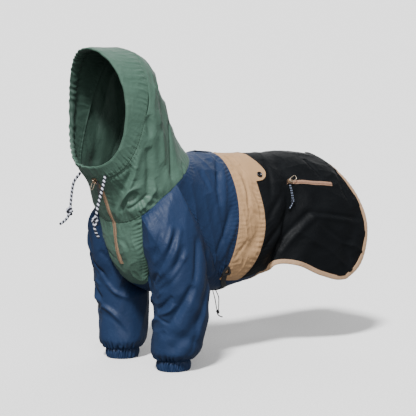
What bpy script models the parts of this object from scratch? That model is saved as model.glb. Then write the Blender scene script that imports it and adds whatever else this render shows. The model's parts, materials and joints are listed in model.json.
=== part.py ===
"""A hooded dog jacket, filled out as it is worn.

The frame: the origin is the centre-back neck point, on the inside of the cloth, where the jacket
hangs on the wearer's withers. +X runs along the back to the tail, +Y to the wearer's right and +Z up.
The cloth is lofted through sections whose sizes are in the tables below, in millimetres.
An angle on a section starts at the back seam, 0, and goes round the left side to the throat or belly, pi.
"""

import math

import bmesh
import bpy
import numpy as np

MM = 0.001
TURN = 2 * math.pi

# Driving dimensions, in millimetres.
CLOTH = 1.2  # wall of one layer
CASING = 2.2  # wall where the cloth is folded over, as round the face
SEAM_GAP = 0.3
BINDING_WIDTH = 8.0
BINDING_WALL = 2.6
FLAP_RISE = 1.8  # of the flap over the black back panel it lies on
BRIM_GATHERS, BRIM_GATHER_DEPTH = 20, 0.8
CUFF_GATHERS, CUFF_GATHER_DEPTH = 12, 1.2
ZIP_HALF_WIDTH = 5.0
ZIP_WALL = 1.6
SLIT_START, SLIT_END, SLIT_HALF_WIDTH = 0.27, 0.88, 4.0
POCKET_ZIP_WIDTH, POCKET_ZIP_LIFT = 10.0, 0.9
STRAP_WIDTH, STRAP_WALL, STRAP_LIFT = 12.0, 1.6, 0.6
CAPE_GIRTH = 300  # round the back panel where the pocket is
SNAP_DIAMETER, SNAP_HEIGHT = 12.0, 2.2
RING_WIDTH, RING_LENGTH, RING_WIRE = 9.6, 16.0, 1.3
SLIDER_WIDTH, SLIDER_LENGTH, SLIDER_HEIGHT = 8.0, 12.0, 2.2
BRIDGE_RISE, BRIDGE_SPAN, BRIDGE_WIRE = 3.4, 7.0, 1.5
BUCKLE_HEIGHT = 3.0
DRAWCORD_DIAMETER = 5.0
THIN_CORD_DIAMETER = 1.9

# Sections through the body. A section's plane holds its point on the back and its point in front.
# Bow pushes its sides towards the tail and sag pushes its lower sides that way.
# A fullness of 2 is an ellipse and more is squarer: one for the upper half and one for the lower.
SECTION_COLUMNS = (
    ("at", "back_x", "back_z", "front_x", "front_z", "half_width"),
    ("bow", "sag", "upper", "lower"),
)
TRUNK_SECTIONS = (
    (0.00, 0, 1.2, -167, -119, 88, -14, 2, 1.6, 2.7),
    (0.25, 18, 1.0, -160, -172, 89, -6, 8, 1.75, 2.6),
    (0.50, 37, 0.0, -134, -225, 90, 3, 12, 1.85, 2.4),
    (0.70, 52, -1.0, -88, -256, 90, 9, 13, 1.9, 2.3),
    (0.85, 63, -2.0, -45, -267, 89, 13, 14, 1.9, 2.2),
    (1.00, 74, -3.0, 5, -273, 88, 15, 15, 1.9, 2.2),
    (1.50, 97, -5.0, 36, -271, 88, 24, 16, 1.9, 2.2),
    (2.00, 120, -7.0, 62, -267, 88, 33, 16, 1.85, 2.2),
    (2.50, 184, -8.0, 128, -259, 90, 8, 10, 1.9, 2.2),
    (3.50, 250, -13.0, 200, -250, 92, 0, 0, 2.2, 2.2),
)
HOOD_SECTIONS = (
    (0.00, 0, 1.2, -167, -119, 88, -14, 2, 1.6, 2.7),
    (0.15, -26, 30, -178, -98, 87, -5, 0, 1.6, 2.9),
    (0.35, -52, 77, -187, -74, 86, 2, 0, 1.65, 3.1),
    (0.55, -77, 128, -195, -56, 86, 8, 0, 1.75, 3.1),
    (0.75, -110, 186, -206, -42, 88, 16, 0, 2.0, 2.9),
    (0.88, -160, 206, -218, -28, 89, 20, 0, 2.1, 2.8),
    (1.00, -226, 208, -231, -12, 89, 24, 0, 2.1, 2.6),
)
BRIM_START = 0.84

# Seams drawn on the body: where along it, and at what angle in degrees.
SEAM_COLUMNS = ("along", "at", "angle")
REAR_RAGLAN = ((0.0, 0.0, 86), (0.35, 0.30, 88), (0.65, 0.60, 94), (0.85, 0.77, 105), (1.0, 0.87, 118))
FRONT_RAGLAN = ((0.0, 0.0, 137), (0.4, 0.22, 143), (0.75, 0.43, 149), (1.0, 0.54, 159))
BELLY_EDGE = (
    (0.0, 0.54, 159),
    (0.5, 0.70, 138),
    (1.0, 0.87, 118),
    (1.5, 1.00, 134),
    (2.5, 2.00, 141),
    (3.0, 2.50, 143),
)
CHEST_TIP = 0.585
WAIST_FRONT, WAIST_REAR, BELLY_END = 1.0, 2.0, 2.5

# The cape behind the waist: each line runs from the spine down to the hem.
# Bulge pushes its middle rearwards.
CAPE_COLUMNS = ("at", "back_x", "back_z", "low_x", "low_y", "low_z", "bulge", "fullness")
CAPE_LINES = (
    (2.5, 184, -8, 135, 55, -238, 0, 2.3),
    (3.0, 213, -7, 158, 82, -206, 0, 2.4),
    (3.5, 250, -9, 216, 98, -220, 2, 2.4),
    (4.0, 285, -13, 270, 106, -244, 4, 2.4),
    (4.5, 315, -17, 320, 110, -257, 8, 2.3),
    (5.0, 332, -20, 363, 112, -257, 16, 2.1),
    (5.5, 344, -26, 392, 110, -250, 25, 2.0),
)
CAPE_END = 5.5
CORNER_START, CORNER_DEPTH = 0.6, 1.1  # the hem's rear corners are rounded from here, by this much

# The flap's rear edge past the waist band, in millimetres along the back, by share of its half length.
FLAP_COLUMNS = ("share", "reach")
FLAP_EDGE = ((0.0, 25), (0.3, 28), (0.6, 34), (0.85, 40), (0.95, 40), (1.0, 34))
FLAP_ANGLE = 48  # degrees to either side of the spine

# Sections of the left sleeve below the armhole.
SLEEVE_COLUMNS = ("z", "centre_x", "centre_y", "radius_x", "radius_y")
SLEEVE_SECTIONS = (
    (-395, -89, 79, 31, 30),
    (-377, -89, 79, 31, 30),
    (-372, -88, 80, 38, 37),
    (-359, -86, 82, 47, 46),
    (-335, -82, 86, 50, 49),
    (-292, -79, 89, 52, 51),
    (-245, -80, 91, 56, 50),
)
CUFF_TOP_Z, CUFF_END_Z = -377, -395
# How far down the sleeve has its own section all round: lower on the inside, below the belly.
SLEEVE_TOP_COLUMNS = ("side", "z")
SLEEVE_TOPS = ((0, -245), (1, -245), (1.5, -258), (2, -274), (3, -276), (3.5, -262), (4, -245))
# Which way the sleeve leaves the armhole, round from the rear of the neck: neck, chest, belly and yoke sides.
SLEEVE_START_COLUMNS = ("side", "x", "y", "z")
SLEEVE_STARTS = (
    (0.0, 0.1, -0.6, -0.8),
    (0.5, -0.2, -0.7, -0.7),
    (1.0, -0.5, -0.8, -0.4),
    (1.5, -0.5, -0.7, -0.5),
    (2.0, -0.1, -0.5, -0.8),
    (2.5, 0.0, 0.0, -1.0),
    (3.0, 0.1, -0.6, -0.8),
    (3.5, 0.0, -0.9, -0.4),
    (4.0, 0.1, -0.6, -0.8),
)

# Folds pressed into the cloth: the ends and middle of each, its width, and its depth, negative inwards.
FOLD_COLUMNS = ("start", "middle", "end", "width", "depth")
BODY_FOLDS = (
    ((20, 6, 0), (43, 7, 0), (68, 6, 0), 9, 3.0),
    ((120, -80, -70), (128, -92, -120), (100, -88, -180), 13, -3.5),
    ((200, -60, -30), (196, -88, -80), (176, -90, -130), 12, -3.0),
    ((225, -88, -90), (198, -92, -140), (172, -88, -185), 13, -3.0),
    ((300, -100, -110), (262, -104, -160), (215, -102, -215), 18, 3.0),
    ((385, -70, -120), (350, -108, -180), (330, -112, -240), 16, -3.0),
)
HOOD_FOLDS = (
    ((-165, -70, 130), (-140, -92, 60), (-150, -90, -10), 15, 4.0),
    ((-120, -60, 140), (-95, -88, 60), (-90, -90, -20), 14, -5.0),
    ((-70, -40, 100), (-55, -75, 30), (-60, -88, -40), 13, 3.5),
    ((-190, -60, -60), (-160, -75, -70), (-120, -95, -70), 12, -4.0),
)
CHEST_FOLDS = (
    ((-168, -62, -130), (-158, -60, -170), (-120, -48, -222), 10, -5.0),
    ((-172, 40, -135), (-166, 18, -160), (-150, -2, -190), 10, -2.5),
)
SLEEVE_FOLDS = (
    ((-34, -96, -180), (-62, -140, -270), (-120, -118, -345), 13, -5.0),
    ((-128, -110, -200), (-110, -140, -250), (-40, -116, -300), 14, 3.0),
    ((-60, -136, -350), (-95, -128, -330), (-128, -100, -320), 10, -3.5),
)

# Cords: the points each hangs through, from where it leaves the cloth.
LEFT_DRAWCORD = ((-215.2, -38.5, -25.5), (-226, -45, -45), (-240, -50, -75), (-247, -52, -96))
LEFT_KNOT = ((-247.3, -52, -96.8), (-250, -52, -112), (-240, -51, -136))
RIGHT_DRAWCORD = ((-215.8, 37.9, -25.3), (-226, 46, -45), (-228, 50, -68), (-230, 51, -90))
RIGHT_KNOT = ((-230, 51, -90.8), (-234, 51, -104), (-254, 51, -120))
BELLY_CORDS = (
    ((59, -18, -270.2), (64, -19, -288), (68.5, -19, -308.8)),
    ((64, -21, -269.6), (72, -21, -288), (71.2, -21, -308.8)),
)
BELLY_KNOT = ((70, -20, -309.2), (70, -20, -316.5), (82, -20, -325))
CHEST_CORDS = (((0, 6.6, 1.0), (3, 7.0, 26), (5, 7.2, 38)), ((0, 8.9, 1.0), (3, 9.3, 26), (5, 9.5, 38)))

# Where the hard pieces and the strap sit: places along the body and angles in degrees.
SNAP_AT, SNAP_ANGLE = 2.16, 42.5
POCKET_COLUMNS = ("share", "at", "across")
POCKET_LINE = (
    (0.0, 3.03, 0.456),
    (0.25, 3.39, 0.518),
    (0.5, 3.69, 0.512),
    (0.75, 4.04, 0.497),
    (1.0, 4.43, 0.484),
)
POCKET_SLIDER_SHARE = 0.055
POCKET_CORD_COLUMNS = ("along", "at", "across")
POCKET_CORD_LINE = ((0.0, 3.12, 0.502), (0.5, 3.18, 0.569), (1.0, 3.226, 0.6302))
POCKET_KNOT_LINE = ((0.0, 3.235, 0.638), (0.5, 3.222, 0.662), (1.0, 3.13, 0.680))
POCKET_CORD_HEIGHT = 3.4
CHEST_SLIDER_AT = 0.795
STRAP_COLUMNS = ("step", "at", "angle")
STRAP_LINE = (
    (0, 1.02, 128),
    (1, 1.14, 137),
    (2, 1.5, 148),
    (3, 1.85, 163),
    (4, 2.0, 182),
    (5, 1.9, 200),
    (6, 1.8, 216),
)
BUCKLE_AT, BUCKLE_ANGLE = 1.0, 123.5
TAIL_TAB_AT = 5.05
# How far each pull ring is turned up from the cloth and tilted in its plane, in degrees.
CHEST_PULL_TURN, POCKET_PULL_TURN, POCKET_PULL_TILT = 65, 12, 25

# The samples that neighbouring panels share along their seams.
NECK_REAR, NECK_FRONT = 8, 14  # which of the neck's the raglan seams meet
RAGLAN_STEPS, CHEST_STEPS, UNDERARM_STEPS = 10, 8, 6
NECK_ANGLES = np.radians(
    np.concatenate([np.linspace(0, 86, 9), np.linspace(86, 137, 7)[1:], np.linspace(137, 180, 5)[1:]])
)
WAIST_SHARES = np.concatenate(
    [np.linspace(0, FLAP_ANGLE / 141, NECK_REAR + 1), np.linspace(FLAP_ANGLE / 141, 1, RAGLAN_STEPS + 1)[1:]]
)
YOKE_ROWS = np.array([0, 0.13, SLIT_START, 0.47, 0.68, SLIT_END, 1.0])
BAND_ROWS = 6
BELLY_ALONG = np.concatenate(
    [1 + YOKE_ROWS / 2, np.linspace(1.5, 2.5, BAND_ROWS)[1:], np.linspace(2.5, 3, 4)[1:]]
)
ZIP_ROWS = 5  # rows of the chest panel that the zip's slit runs through
ALL_SIDES = ("first row", "last row", "first column", "last column")


def through(table, at):
    """A table's other columns at places along its first, on a smooth curve that doesn't overshoot."""
    table = np.asarray(table, float)
    knots, values = table[:, 0], table[:, 1:]
    gap = np.diff(knots)[:, None]
    secant = np.diff(values, axis=0) / gap
    slopes = np.concatenate([secant[:1], secant * 0])
    slopes[-1] = secant[-1]
    before, after = secant[:-1], secant[1:]
    same_way = before * after > 0
    first = (2 * gap[1:] + gap[:-1]) / np.where(same_way, before, 1)
    second = (gap[1:] + 2 * gap[:-1]) / np.where(same_way, after, 1)
    weight = np.where(same_way, first + second, 1)
    slopes[1:-1] = np.where(same_way, 3 * (gap[:-1] + gap[1:]) / weight, 0)
    at = np.clip(np.asarray(at, float), knots[0], knots[-1])
    row = np.clip(np.searchsorted(knots, at, side="right") - 1, 0, len(knots) - 2)
    step = (knots[row + 1] - knots[row])[..., None]
    t = (at - knots[row])[..., None] / step
    return (
        (1 + 2 * t) * (1 - t) ** 2 * values[row]
        + t * (1 - t) ** 2 * step * slopes[row]
        + t**2 * (3 - 2 * t) * values[row + 1]
        + t**2 * (t - 1) * step * slopes[row + 1]
    )


def signed_power(value, exponent):
    return np.sign(value) * np.abs(value) ** exponent


def smooth_step(value, start, end):
    t = np.clip((value - start) / (end - start), 0, 1)
    return t * t * (3 - 2 * t)


def unit(vectors):
    return vectors / np.maximum(np.linalg.norm(vectors, axis=-1, keepdims=True), 1e-12)


def on_sections(table, at, angle):
    """Points on a loft of sections: at places along it, and at angles in radians, positive on the left."""
    at, angle = np.broadcast_arrays(np.asarray(at, float), np.asarray(angle, float))
    found = np.moveaxis(through(table, at), -1, 0)
    back_x, back_z, front_x, front_z, half_width, bow, sag, upper, lower = found
    fullness = np.where(np.cos(angle) > 0, upper, lower)
    along = signed_power(np.cos(angle), 2 / fullness)
    side = signed_power(np.sin(angle), 2 / fullness)
    half_x, half_z = (back_x - front_x) / 2, (back_z - front_z) / 2
    push = bow * side**2 + sag * 0.77 * np.abs(np.sin(angle)) * (1 - np.cos(angle))
    push = push / np.hypot(half_x, half_z)
    x = (back_x + front_x) / 2 + half_x * along + push * half_z
    z = (back_z + front_z) / 2 + half_z * along - push * half_x
    return np.stack([x, -half_width * side, z], axis=-1)


def trunk(at, angle):
    return on_sections(TRUNK_SECTIONS, at, angle)


def hood(at, angle):
    return on_sections(HOOD_SECTIONS, at, angle)


def belly_edge(at):
    """The angle of the belly panel's left edge, behind the armpit."""
    along = np.interp(at, (0.87, 1.0, 2.0, 2.5), (1.0, 1.5, 2.5, 3.0))
    return np.radians(through(BELLY_EDGE, along)[..., 1])


def cape(at, across):
    """Points of the back behind the waist: across is -1 at the right hem, 0 on the spine, 1 at the left."""
    at, across = np.broadcast_arrays(np.asarray(at, float), np.asarray(across, float))
    back_x, back_z, low_x, low_y, low_z, bulge, fullness = np.moveaxis(through(CAPE_LINES, at), -1, 0)
    turn = np.abs(across) * math.pi / 2
    down = 1 - signed_power(np.cos(turn), 2 / fullness)
    out = signed_power(np.sin(turn), 2 / fullness)
    x = back_x + (low_x - back_x) * down + bulge * np.sin(math.pi * down)
    hanging = np.stack([x, -np.sign(across) * low_y * out, back_z + (low_z - back_z) * down], axis=-1)
    worn = trunk(np.minimum(at, 3.5), across * belly_edge(at))
    share = smooth_step(at, BELLY_END, 3.5)[..., None]
    return worn * (1 - share) + hanging * share


def normals(surface, at, across):
    """Outward normals of a surface. The hood's and the trunk's agree where they meet, at 0."""
    at, across = np.broadcast_arrays(np.asarray(at, float), np.asarray(across, float))
    step = 0.002
    along = surface(at + step, across) - surface(at - step, across)
    around = surface(at, across + step) - surface(at, across - step)
    own = unit(np.cross(around, along))
    if surface is hood:
        own = -own
    if surface is cape:
        return own
    share = 0.5 * np.clip(1 - at / 0.12, 0, 1)[..., None]
    if not share.any():
        return own
    zero = np.zeros(at.shape)
    round_neck = trunk(zero, across + step) - trunk(zero, across - step)
    of_trunk = unit(np.cross(round_neck, trunk(zero + step, across) - trunk(zero, across)))
    of_hood = -unit(np.cross(round_neck, hood(zero + step, across) - hood(zero, across)))
    return unit(own * (1 - share * 2) + (of_trunk + of_hood) * share)


def fold_heights(points, folds):
    """How far folds push points out of a surface, by their distance from each fold's curve."""
    height = np.zeros(points.shape[:-1])
    t = np.linspace(0, 1, 13)[:, None]
    for start, middle, end, width, depth in folds:
        start, middle, end = (np.asarray(p, float) for p in (start, middle, end))
        line = (1 - t) * (1 - 2 * t) * start + 4 * t * (1 - t) * middle + t * (2 * t - 1) * end
        away = np.linalg.norm(points[..., None, :] - line, axis=-1).min(axis=-1)
        height += depth * np.exp(-((away / width) ** 2))
    return height


def wall_of(surface, at, across, folds=(), wall=CLOTH, lift=0.0):
    """The outer and inner faces of cloth on a surface, as two grids of points."""
    base = surface(at, across)
    out = normals(surface, at, across)
    height = (fold_heights(base, folds) + lift)[..., None]
    return base + out * height, base + out * (height - wall)


def pull_in(faces, edges, gap=SEAM_GAP / 2):
    """Moves edges of both faces of a wall back along the cloth, for the gap at a seam."""
    moved = []
    for points in faces:
        points = points.copy()
        for edge in edges:
            line, inner = {"first": (0, 1), "last": (-1, -2)}[edge.split()[0]]
            if edge.endswith("row"):
                points[line] += unit(points[inner] - points[line]) * gap
            else:
                points[:, line] += unit(points[:, inner] - points[:, line]) * gap
        moved.append(points)
    return moved


def solid(name, mesh_points, faces, material):
    mesh = bpy.data.meshes.new(name)
    build = bmesh.new()
    verts = [build.verts.new(p * MM) for p in mesh_points]
    for face in faces:
        build.faces.new([verts[i] for i in face])
    loose = [v for v in build.verts if not v.link_faces]
    bmesh.ops.delete(build, geom=loose, context="VERTS")
    bmesh.ops.recalc_face_normals(build, faces=build.faces)
    build.to_mesh(mesh)
    build.free()
    obj = bpy.data.objects.new(name, mesh)
    PIECES.objects.link(obj)
    mesh.materials.append(material)
    mesh.shade_smooth()
    mesh.set_sharp_from_angle(angle=math.radians(50))
    return obj


def shell(name, faces, material, closed=False, holes=None):
    """A solid between the outer and inner faces of a wall. Cells of the grid that are holes are left out."""
    outer, inner = faces
    rows, columns = outer.shape[:2]
    cells = columns if closed else columns - 1
    kept = np.ones((rows - 1, cells), bool) if holes is None else ~holes
    count = rows * columns

    def corner(i, j):
        return i * columns + j % columns

    polygons = []
    for i, j in zip(*np.nonzero(kept)):
        ring = [corner(i, j), corner(i, j + 1), corner(i + 1, j + 1), corner(i + 1, j)]
        for half in (ring[:3], [ring[0], *ring[2:]]):
            polygons.append(half)
            polygons.append([n + count for n in reversed(half)])
        beside = (
            (i - 1, j, ring[0], ring[1]),
            (i, j + 1, ring[1], ring[2]),
            (i + 1, j, ring[2], ring[3]),
            (i, j - 1, ring[3], ring[0]),
        )
        for row, column, a, b in beside:
            if closed:
                column %= cells
            if 0 <= row < rows - 1 and 0 <= column < cells and kept[row, column]:
                continue
            polygons.append([b, a, a + count, b + count])
    return solid(name, np.concatenate([outer.reshape(-1, 3), inner.reshape(-1, 3)]), polygons, material)


def mirrored(faces):
    return [points * (1, -1, 1) for points in faces]


def both_sides(name, faces, material, **options):
    shell(name + "_left", faces, material, **options)
    shell(name + "_right", mirrored(faces), material, **options)


def tube(name, route, radii, material, sides=8, closed=False):
    """A round tube along a route, with a radius at each of its points."""
    route = np.asarray(route, float)
    count = len(route)
    if closed:
        ahead = unit(np.roll(route, -1, axis=0) - np.roll(route, 1, axis=0))
    else:
        ahead = unit(np.gradient(route, axis=0))
    side = unit(np.cross(ahead[0], (0.31, 0.17, 0.93)))
    rings = []
    for point, way, radius in zip(route, ahead, np.broadcast_to(radii, count)):
        side = unit(side - way * (side @ way))
        up = np.cross(way, side)
        turns = np.arange(sides) * TURN / sides
        rings.append(point + radius * (np.cos(turns)[:, None] * side + np.sin(turns)[:, None] * up))
    faces = []
    for i in range(count if closed else count - 1):
        for j in range(sides):
            a, b = i * sides + j, i * sides + (j + 1) % sides
            c, d = (i + 1) % count * sides + (j + 1) % sides, (i + 1) % count * sides + j
            faces.append([a, b, c, d])
    if not closed:
        faces.append([j for j in range(sides)][::-1])
        faces.append([(count - 1) * sides + j for j in range(sides)])
    return solid(name, np.concatenate(rings), faces, material)


def smooth_route(points, count):
    table = [(i, *p) for i, p in enumerate(points)]
    return through(table, np.linspace(0, len(points) - 1, count))


def cord(name, points, diameter, material, count=12):
    """A cord as a round bevel along a smooth curve through its points."""
    curve = bpy.data.curves.new(name, "CURVE")
    curve.dimensions = "3D"
    curve.bevel_depth = diameter / 2 * MM
    curve.bevel_resolution = 2 if diameter < 4 else 3
    curve.use_fill_caps = True
    spline = curve.splines.new("POLY")
    route = smooth_route(points, count) * MM
    spline.points.add(count - 1)
    for point, place in zip(spline.points, route):
        point.co = (*place, 1)
    curve.materials.append(material)
    obj = bpy.data.objects.new(name, curve)
    PIECES.objects.link(obj)
    return obj


def knot(name, points, cord_radius, knot_radius, material):
    """A cord's knot and its tail, as one piece along three points: knot top, knot bottom and tail end."""
    top, bottom, end = (np.asarray(p, float) for p in points)
    in_knot = top + (bottom - top) * np.linspace(0, 1, 7)[:, None]
    tail = bottom + (end - bottom) * np.linspace(0, 1, 4)[1:, None]
    swell = np.sin(np.linspace(0.2, 0.88, 7) * math.pi) * knot_radius
    radii = np.concatenate([np.maximum(swell, cord_radius), np.full(3, cord_radius)])
    return tube(name, np.concatenate([in_knot, tail]), radii, material, sides=10)


def frame_at(surface, at, across, towards=(1, 0, 0)):
    """A place on a surface and its axes: along the cloth towards a direction, to that one's side, and out."""
    place = surface(at, across)
    out = normals(surface, at, across)
    towards = np.asarray(towards, float)
    along = unit(towards - out * (towards @ out))
    return place, along, np.cross(out, along), out


def placed(local, frame, lift=0.0):
    """Points given along, to the side and out, put on a frame."""
    place, along, side, out = frame
    local = np.asarray(local, float)
    return place + local[..., :1] * along + local[..., 1:2] * side + (local[..., 2:] + lift) * out


def extrusion(name, outline, low, high, frame, material, inner=None):
    """A flat plate from an outline of (along, side) points, with or without an opening of as many points."""
    outline = np.asarray(outline, float)
    count = len(outline)
    levels = [(outline, low), (outline, high)]
    if inner is not None:
        levels += [(np.asarray(inner, float), high), (np.asarray(inner, float), low)]
    points = np.concatenate([np.column_stack([shape, np.full(count, level)]) for shape, level in levels])
    faces = []
    rings = len(levels)
    for k in range(rings if inner is not None else 1):
        for i in range(count):
            a, b = k * count + i, k * count + (i + 1) % count
            faces.append([a, b, b % count + (k + 1) % rings * count, a % count + (k + 1) % rings * count])
    if inner is None:
        faces.append(list(range(count))[::-1])
        faces.append(list(range(count, 2 * count)))
    return solid(name, placed(points, frame), faces, material)


def material(name, colour, roughness, metallic=0.0):
    made = bpy.data.materials.new(name)
    made.use_nodes = True
    surface = made.node_tree.nodes["Principled BSDF"]
    surface.inputs["Base Color"].default_value = (*colour, 1)
    surface.inputs["Roughness"].default_value = roughness
    surface.inputs["Metallic"].default_value = metallic
    return made


def clear_scene():
    for obj in list(bpy.data.objects):
        bpy.data.objects.remove(obj)


def seam(table, along):
    """Places and angles on a seam of the body."""
    table = np.asarray(table, float)
    return np.interp(along, table[:, 0], table[:, 1]), np.radians(through(table, along)[:, 1])


def angle_beside_throat(surface, at, distance):
    """The angle on the left at a distance from the centre front."""
    table = HOOD_SECTIONS if surface is hood else TRUNK_SECTIONS
    found = through(table, at)
    return math.pi - np.arcsin((distance / found[..., 4]) ** (found[..., 8] / 2))


def make_hood():
    at = np.linspace(0, BRIM_START, 13)[:, None]
    angle = np.broadcast_to(NECK_ANGLES, (13, len(NECK_ANGLES))).copy()
    angle[:, -1] = angle_beside_throat(hood, at[:, 0], ZIP_HALF_WIDTH)
    faces = pull_in(wall_of(hood, at, angle, HOOD_FOLDS), ALL_SIDES)
    both_sides("hood", faces, GREEN)


def make_brim():
    at = np.array([BRIM_START, 0.92, 1.0])[:, None]
    angle = np.linspace(0, TURN, 80, endpoint=False)[None, :]
    gathers = BRIM_GATHER_DEPTH * np.cos(BRIM_GATHERS * angle) * np.array([0.5, 1, 0.5])[:, None]
    faces = pull_in(wall_of(hood, at, angle, wall=CASING, lift=gathers), ["first row"])
    shell("hood_brim", faces, GREEN, closed=True)


def make_yoke():
    at_seam, angle_seam = seam(REAR_RAGLAN, np.linspace(0, 1, RAGLAN_STEPS + 1))
    front_at = np.concatenate([np.zeros(NECK_REAR), at_seam])
    front_angle = np.concatenate([NECK_ANGLES[:NECK_REAR], angle_seam])
    rear_angle = belly_edge(WAIST_FRONT) * WAIST_SHARES
    down = YOKE_ROWS[:, None]
    at = front_at * (1 - down) + WAIST_FRONT * down
    angle = front_angle * (1 - down) + rear_angle * down
    at[:, -1], angle[:, -1] = seam(BELLY_EDGE, 1 + YOKE_ROWS / 2)
    open_part = np.clip((down[:, 0] - SLIT_START) / (SLIT_END - SLIT_START), 0, 1)
    angle[:, 0] = 0.012 + SLIT_HALF_WIDTH / 62 * np.sin(math.pi * open_part)
    at = np.concatenate([at[:, ::-1], at], axis=1)
    angle = np.concatenate([-angle[:, ::-1], angle], axis=1)
    holes = np.zeros((6, at.shape[1] - 1), bool)
    holes[2:5, at.shape[1] // 2 - 1] = True
    faces = pull_in(wall_of(trunk, at, angle, BODY_FOLDS), ALL_SIDES)
    shell("yoke", faces, NAVY, holes=holes)


def make_band():
    """The waist band, with the flap that its rear edge carries over the back panel."""
    at = np.linspace(WAIST_FRONT, WAIST_REAR, BAND_ROWS)
    shares = np.concatenate([-WAIST_SHARES[:0:-1], WAIST_SHARES])
    edge = belly_edge(at)
    angle = edge[:, None] * shares
    flap_share = np.abs(shares * math.degrees(edge[-1])) / FLAP_ANGLE
    under_flap = flap_share <= 1.001
    lift = FLAP_RISE * smooth_step(at[:, None], 1.6, 2.0) * smooth_step(-flap_share, -1.25, -1.0)
    at = np.broadcast_to(at[:, None], angle.shape)
    reach = through(FLAP_EDGE, np.minimum(flap_share, 1))[:, 0] / 128 * (flap_share <= 1.001)
    flap_at = WAIST_REAR + reach * np.array([0.5, 1.0])[:, None]
    at = np.concatenate([at, flap_at])
    angle = np.concatenate([angle, np.broadcast_to(angle[-1], flap_at.shape)])
    lift = np.concatenate([lift, np.full(flap_at.shape, FLAP_RISE)])
    holes = np.zeros((7, len(shares) - 1), bool)
    holes[5:] = ~(under_flap[1:] & under_flap[:-1])
    faces = wall_of(trunk, at, angle, BODY_FOLDS, lift=lift)
    faces = pull_in(faces, ("first row", "first column", "last column"))
    for points in faces:
        points[5, ~under_flap] += unit(points[4, ~under_flap] - points[5, ~under_flap]) * SEAM_GAP / 2
    shell("waist_band", faces, TAN, holes=holes)


def cape_grid():
    """Places and across shares of the back panel: its rear row is rounded at the corners."""
    across = np.concatenate([-WAIST_SHARES[:0:-1], WAIST_SHARES])
    rounding = np.clip((np.abs(across) - CORNER_START) / (1 - CORNER_START), 0, 1)
    rear = CAPE_END - CORNER_DEPTH * (1 - np.sqrt(1 - 0.96 * rounding**2))
    attached = np.linspace(WAIST_REAR, BELLY_END, 4)
    free = np.linspace(0, 1, 11)[1:, None]
    attached = np.broadcast_to(attached[:, None], (4, len(across)))
    at = np.concatenate([attached, BELLY_END + (rear - BELLY_END) * free])
    return at, np.broadcast_to(across, at.shape)


def make_back():
    at, across = cape_grid()
    faces = wall_of(cape, at, across, BODY_FOLDS)
    faces = pull_in(faces, ["first row"])
    for points in faces:
        for edge, inner in ((0, 1), (-1, -2)):
            points[:4, edge] += unit(points[:4, inner] - points[:4, edge]) * SEAM_GAP / 2
    shell("back_panel", faces, BLACK)
    return at, across


def make_chest():
    at_edge, angle_edge = seam(FRONT_RAGLAN, np.linspace(0, 1, CHEST_STEPS + 1))
    share = np.array([1, 0.78, 0.54, 0.28])
    down = np.linspace(0, 1, CHEST_STEPS + 1)[:, None]
    to_tip = (CHEST_TIP - at_edge[-1]) * down**2
    centre_at = at_edge + to_tip[:, 0]
    zip_angle = angle_beside_throat(trunk, centre_at, ZIP_HALF_WIDTH)[:, None]
    angle = zip_angle + (angle_edge[:, None] - zip_angle) * share
    at = at_edge[:, None] + to_tip * (1 - share**2)
    at = np.concatenate([at, centre_at[:, None], centre_at[:, None], at[:, ::-1]], axis=1)
    angle = np.concatenate([angle, zip_angle, TURN - zip_angle, TURN - angle[:, ::-1]], axis=1)
    holes = np.zeros((CHEST_STEPS, 9), bool)
    holes[:ZIP_ROWS, 4] = True
    faces = pull_in(wall_of(trunk, at, angle, CHEST_FOLDS), ALL_SIDES)
    shell("chest_panel", faces, GREEN, holes=holes)
    return centre_at[ZIP_ROWS], at[-1], angle[-1]


def make_chest_zip(end_at):
    """The strip in the throat's slit, from the brim down over the neck seam to the slit's end."""
    half = ZIP_HALF_WIDTH - SEAM_GAP
    hood_at = np.linspace(BRIM_START - 0.01, 0.04, 12)
    trunk_at = np.linspace(0, end_at - 0.004, 6)
    sides = np.array([-1, -0.4, 0.4, 1]) * half
    parts = []
    for surface, places in ((hood, hood_at), (trunk, trunk_at)):
        left = angle_beside_throat(surface, places[:, None], np.abs(sides))
        angle = np.where(sides < 0, left, TURN - left)
        ridge = np.where(np.abs(sides) < half / 2, 0.8, 0.0)
        parts.append(wall_of(surface, places[:, None], angle, lift=ridge, wall=ZIP_WALL))
    faces = [np.concatenate([parts[0][k], parts[1][k]]) for k in (0, 1)]
    shell("chest_zip", faces, ZIP_TAPE)


def make_belly(front_at, front_angle):
    """The belly panel, from the chest panel's lower edge to the hem."""
    along = np.concatenate([np.linspace(0, 1, UNDERARM_STEPS + 1), BELLY_ALONG[1:]])
    at_edge, angle_edge = seam(BELLY_EDGE, along)
    share = (math.pi - front_angle) / (math.pi - angle_edge[0])
    back = (along / along[-1])[:, None]
    at = at_edge[:, None] + (front_at - at_edge[0]) * (1 - back) ** 6
    angle = math.pi - share * (math.pi - angle_edge[:, None])
    faces = pull_in(wall_of(trunk, at, angle, BODY_FOLDS), ("first row", "first column", "last column"))
    shell("belly_panel", faces, NAVY)
    return at, angle


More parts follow.
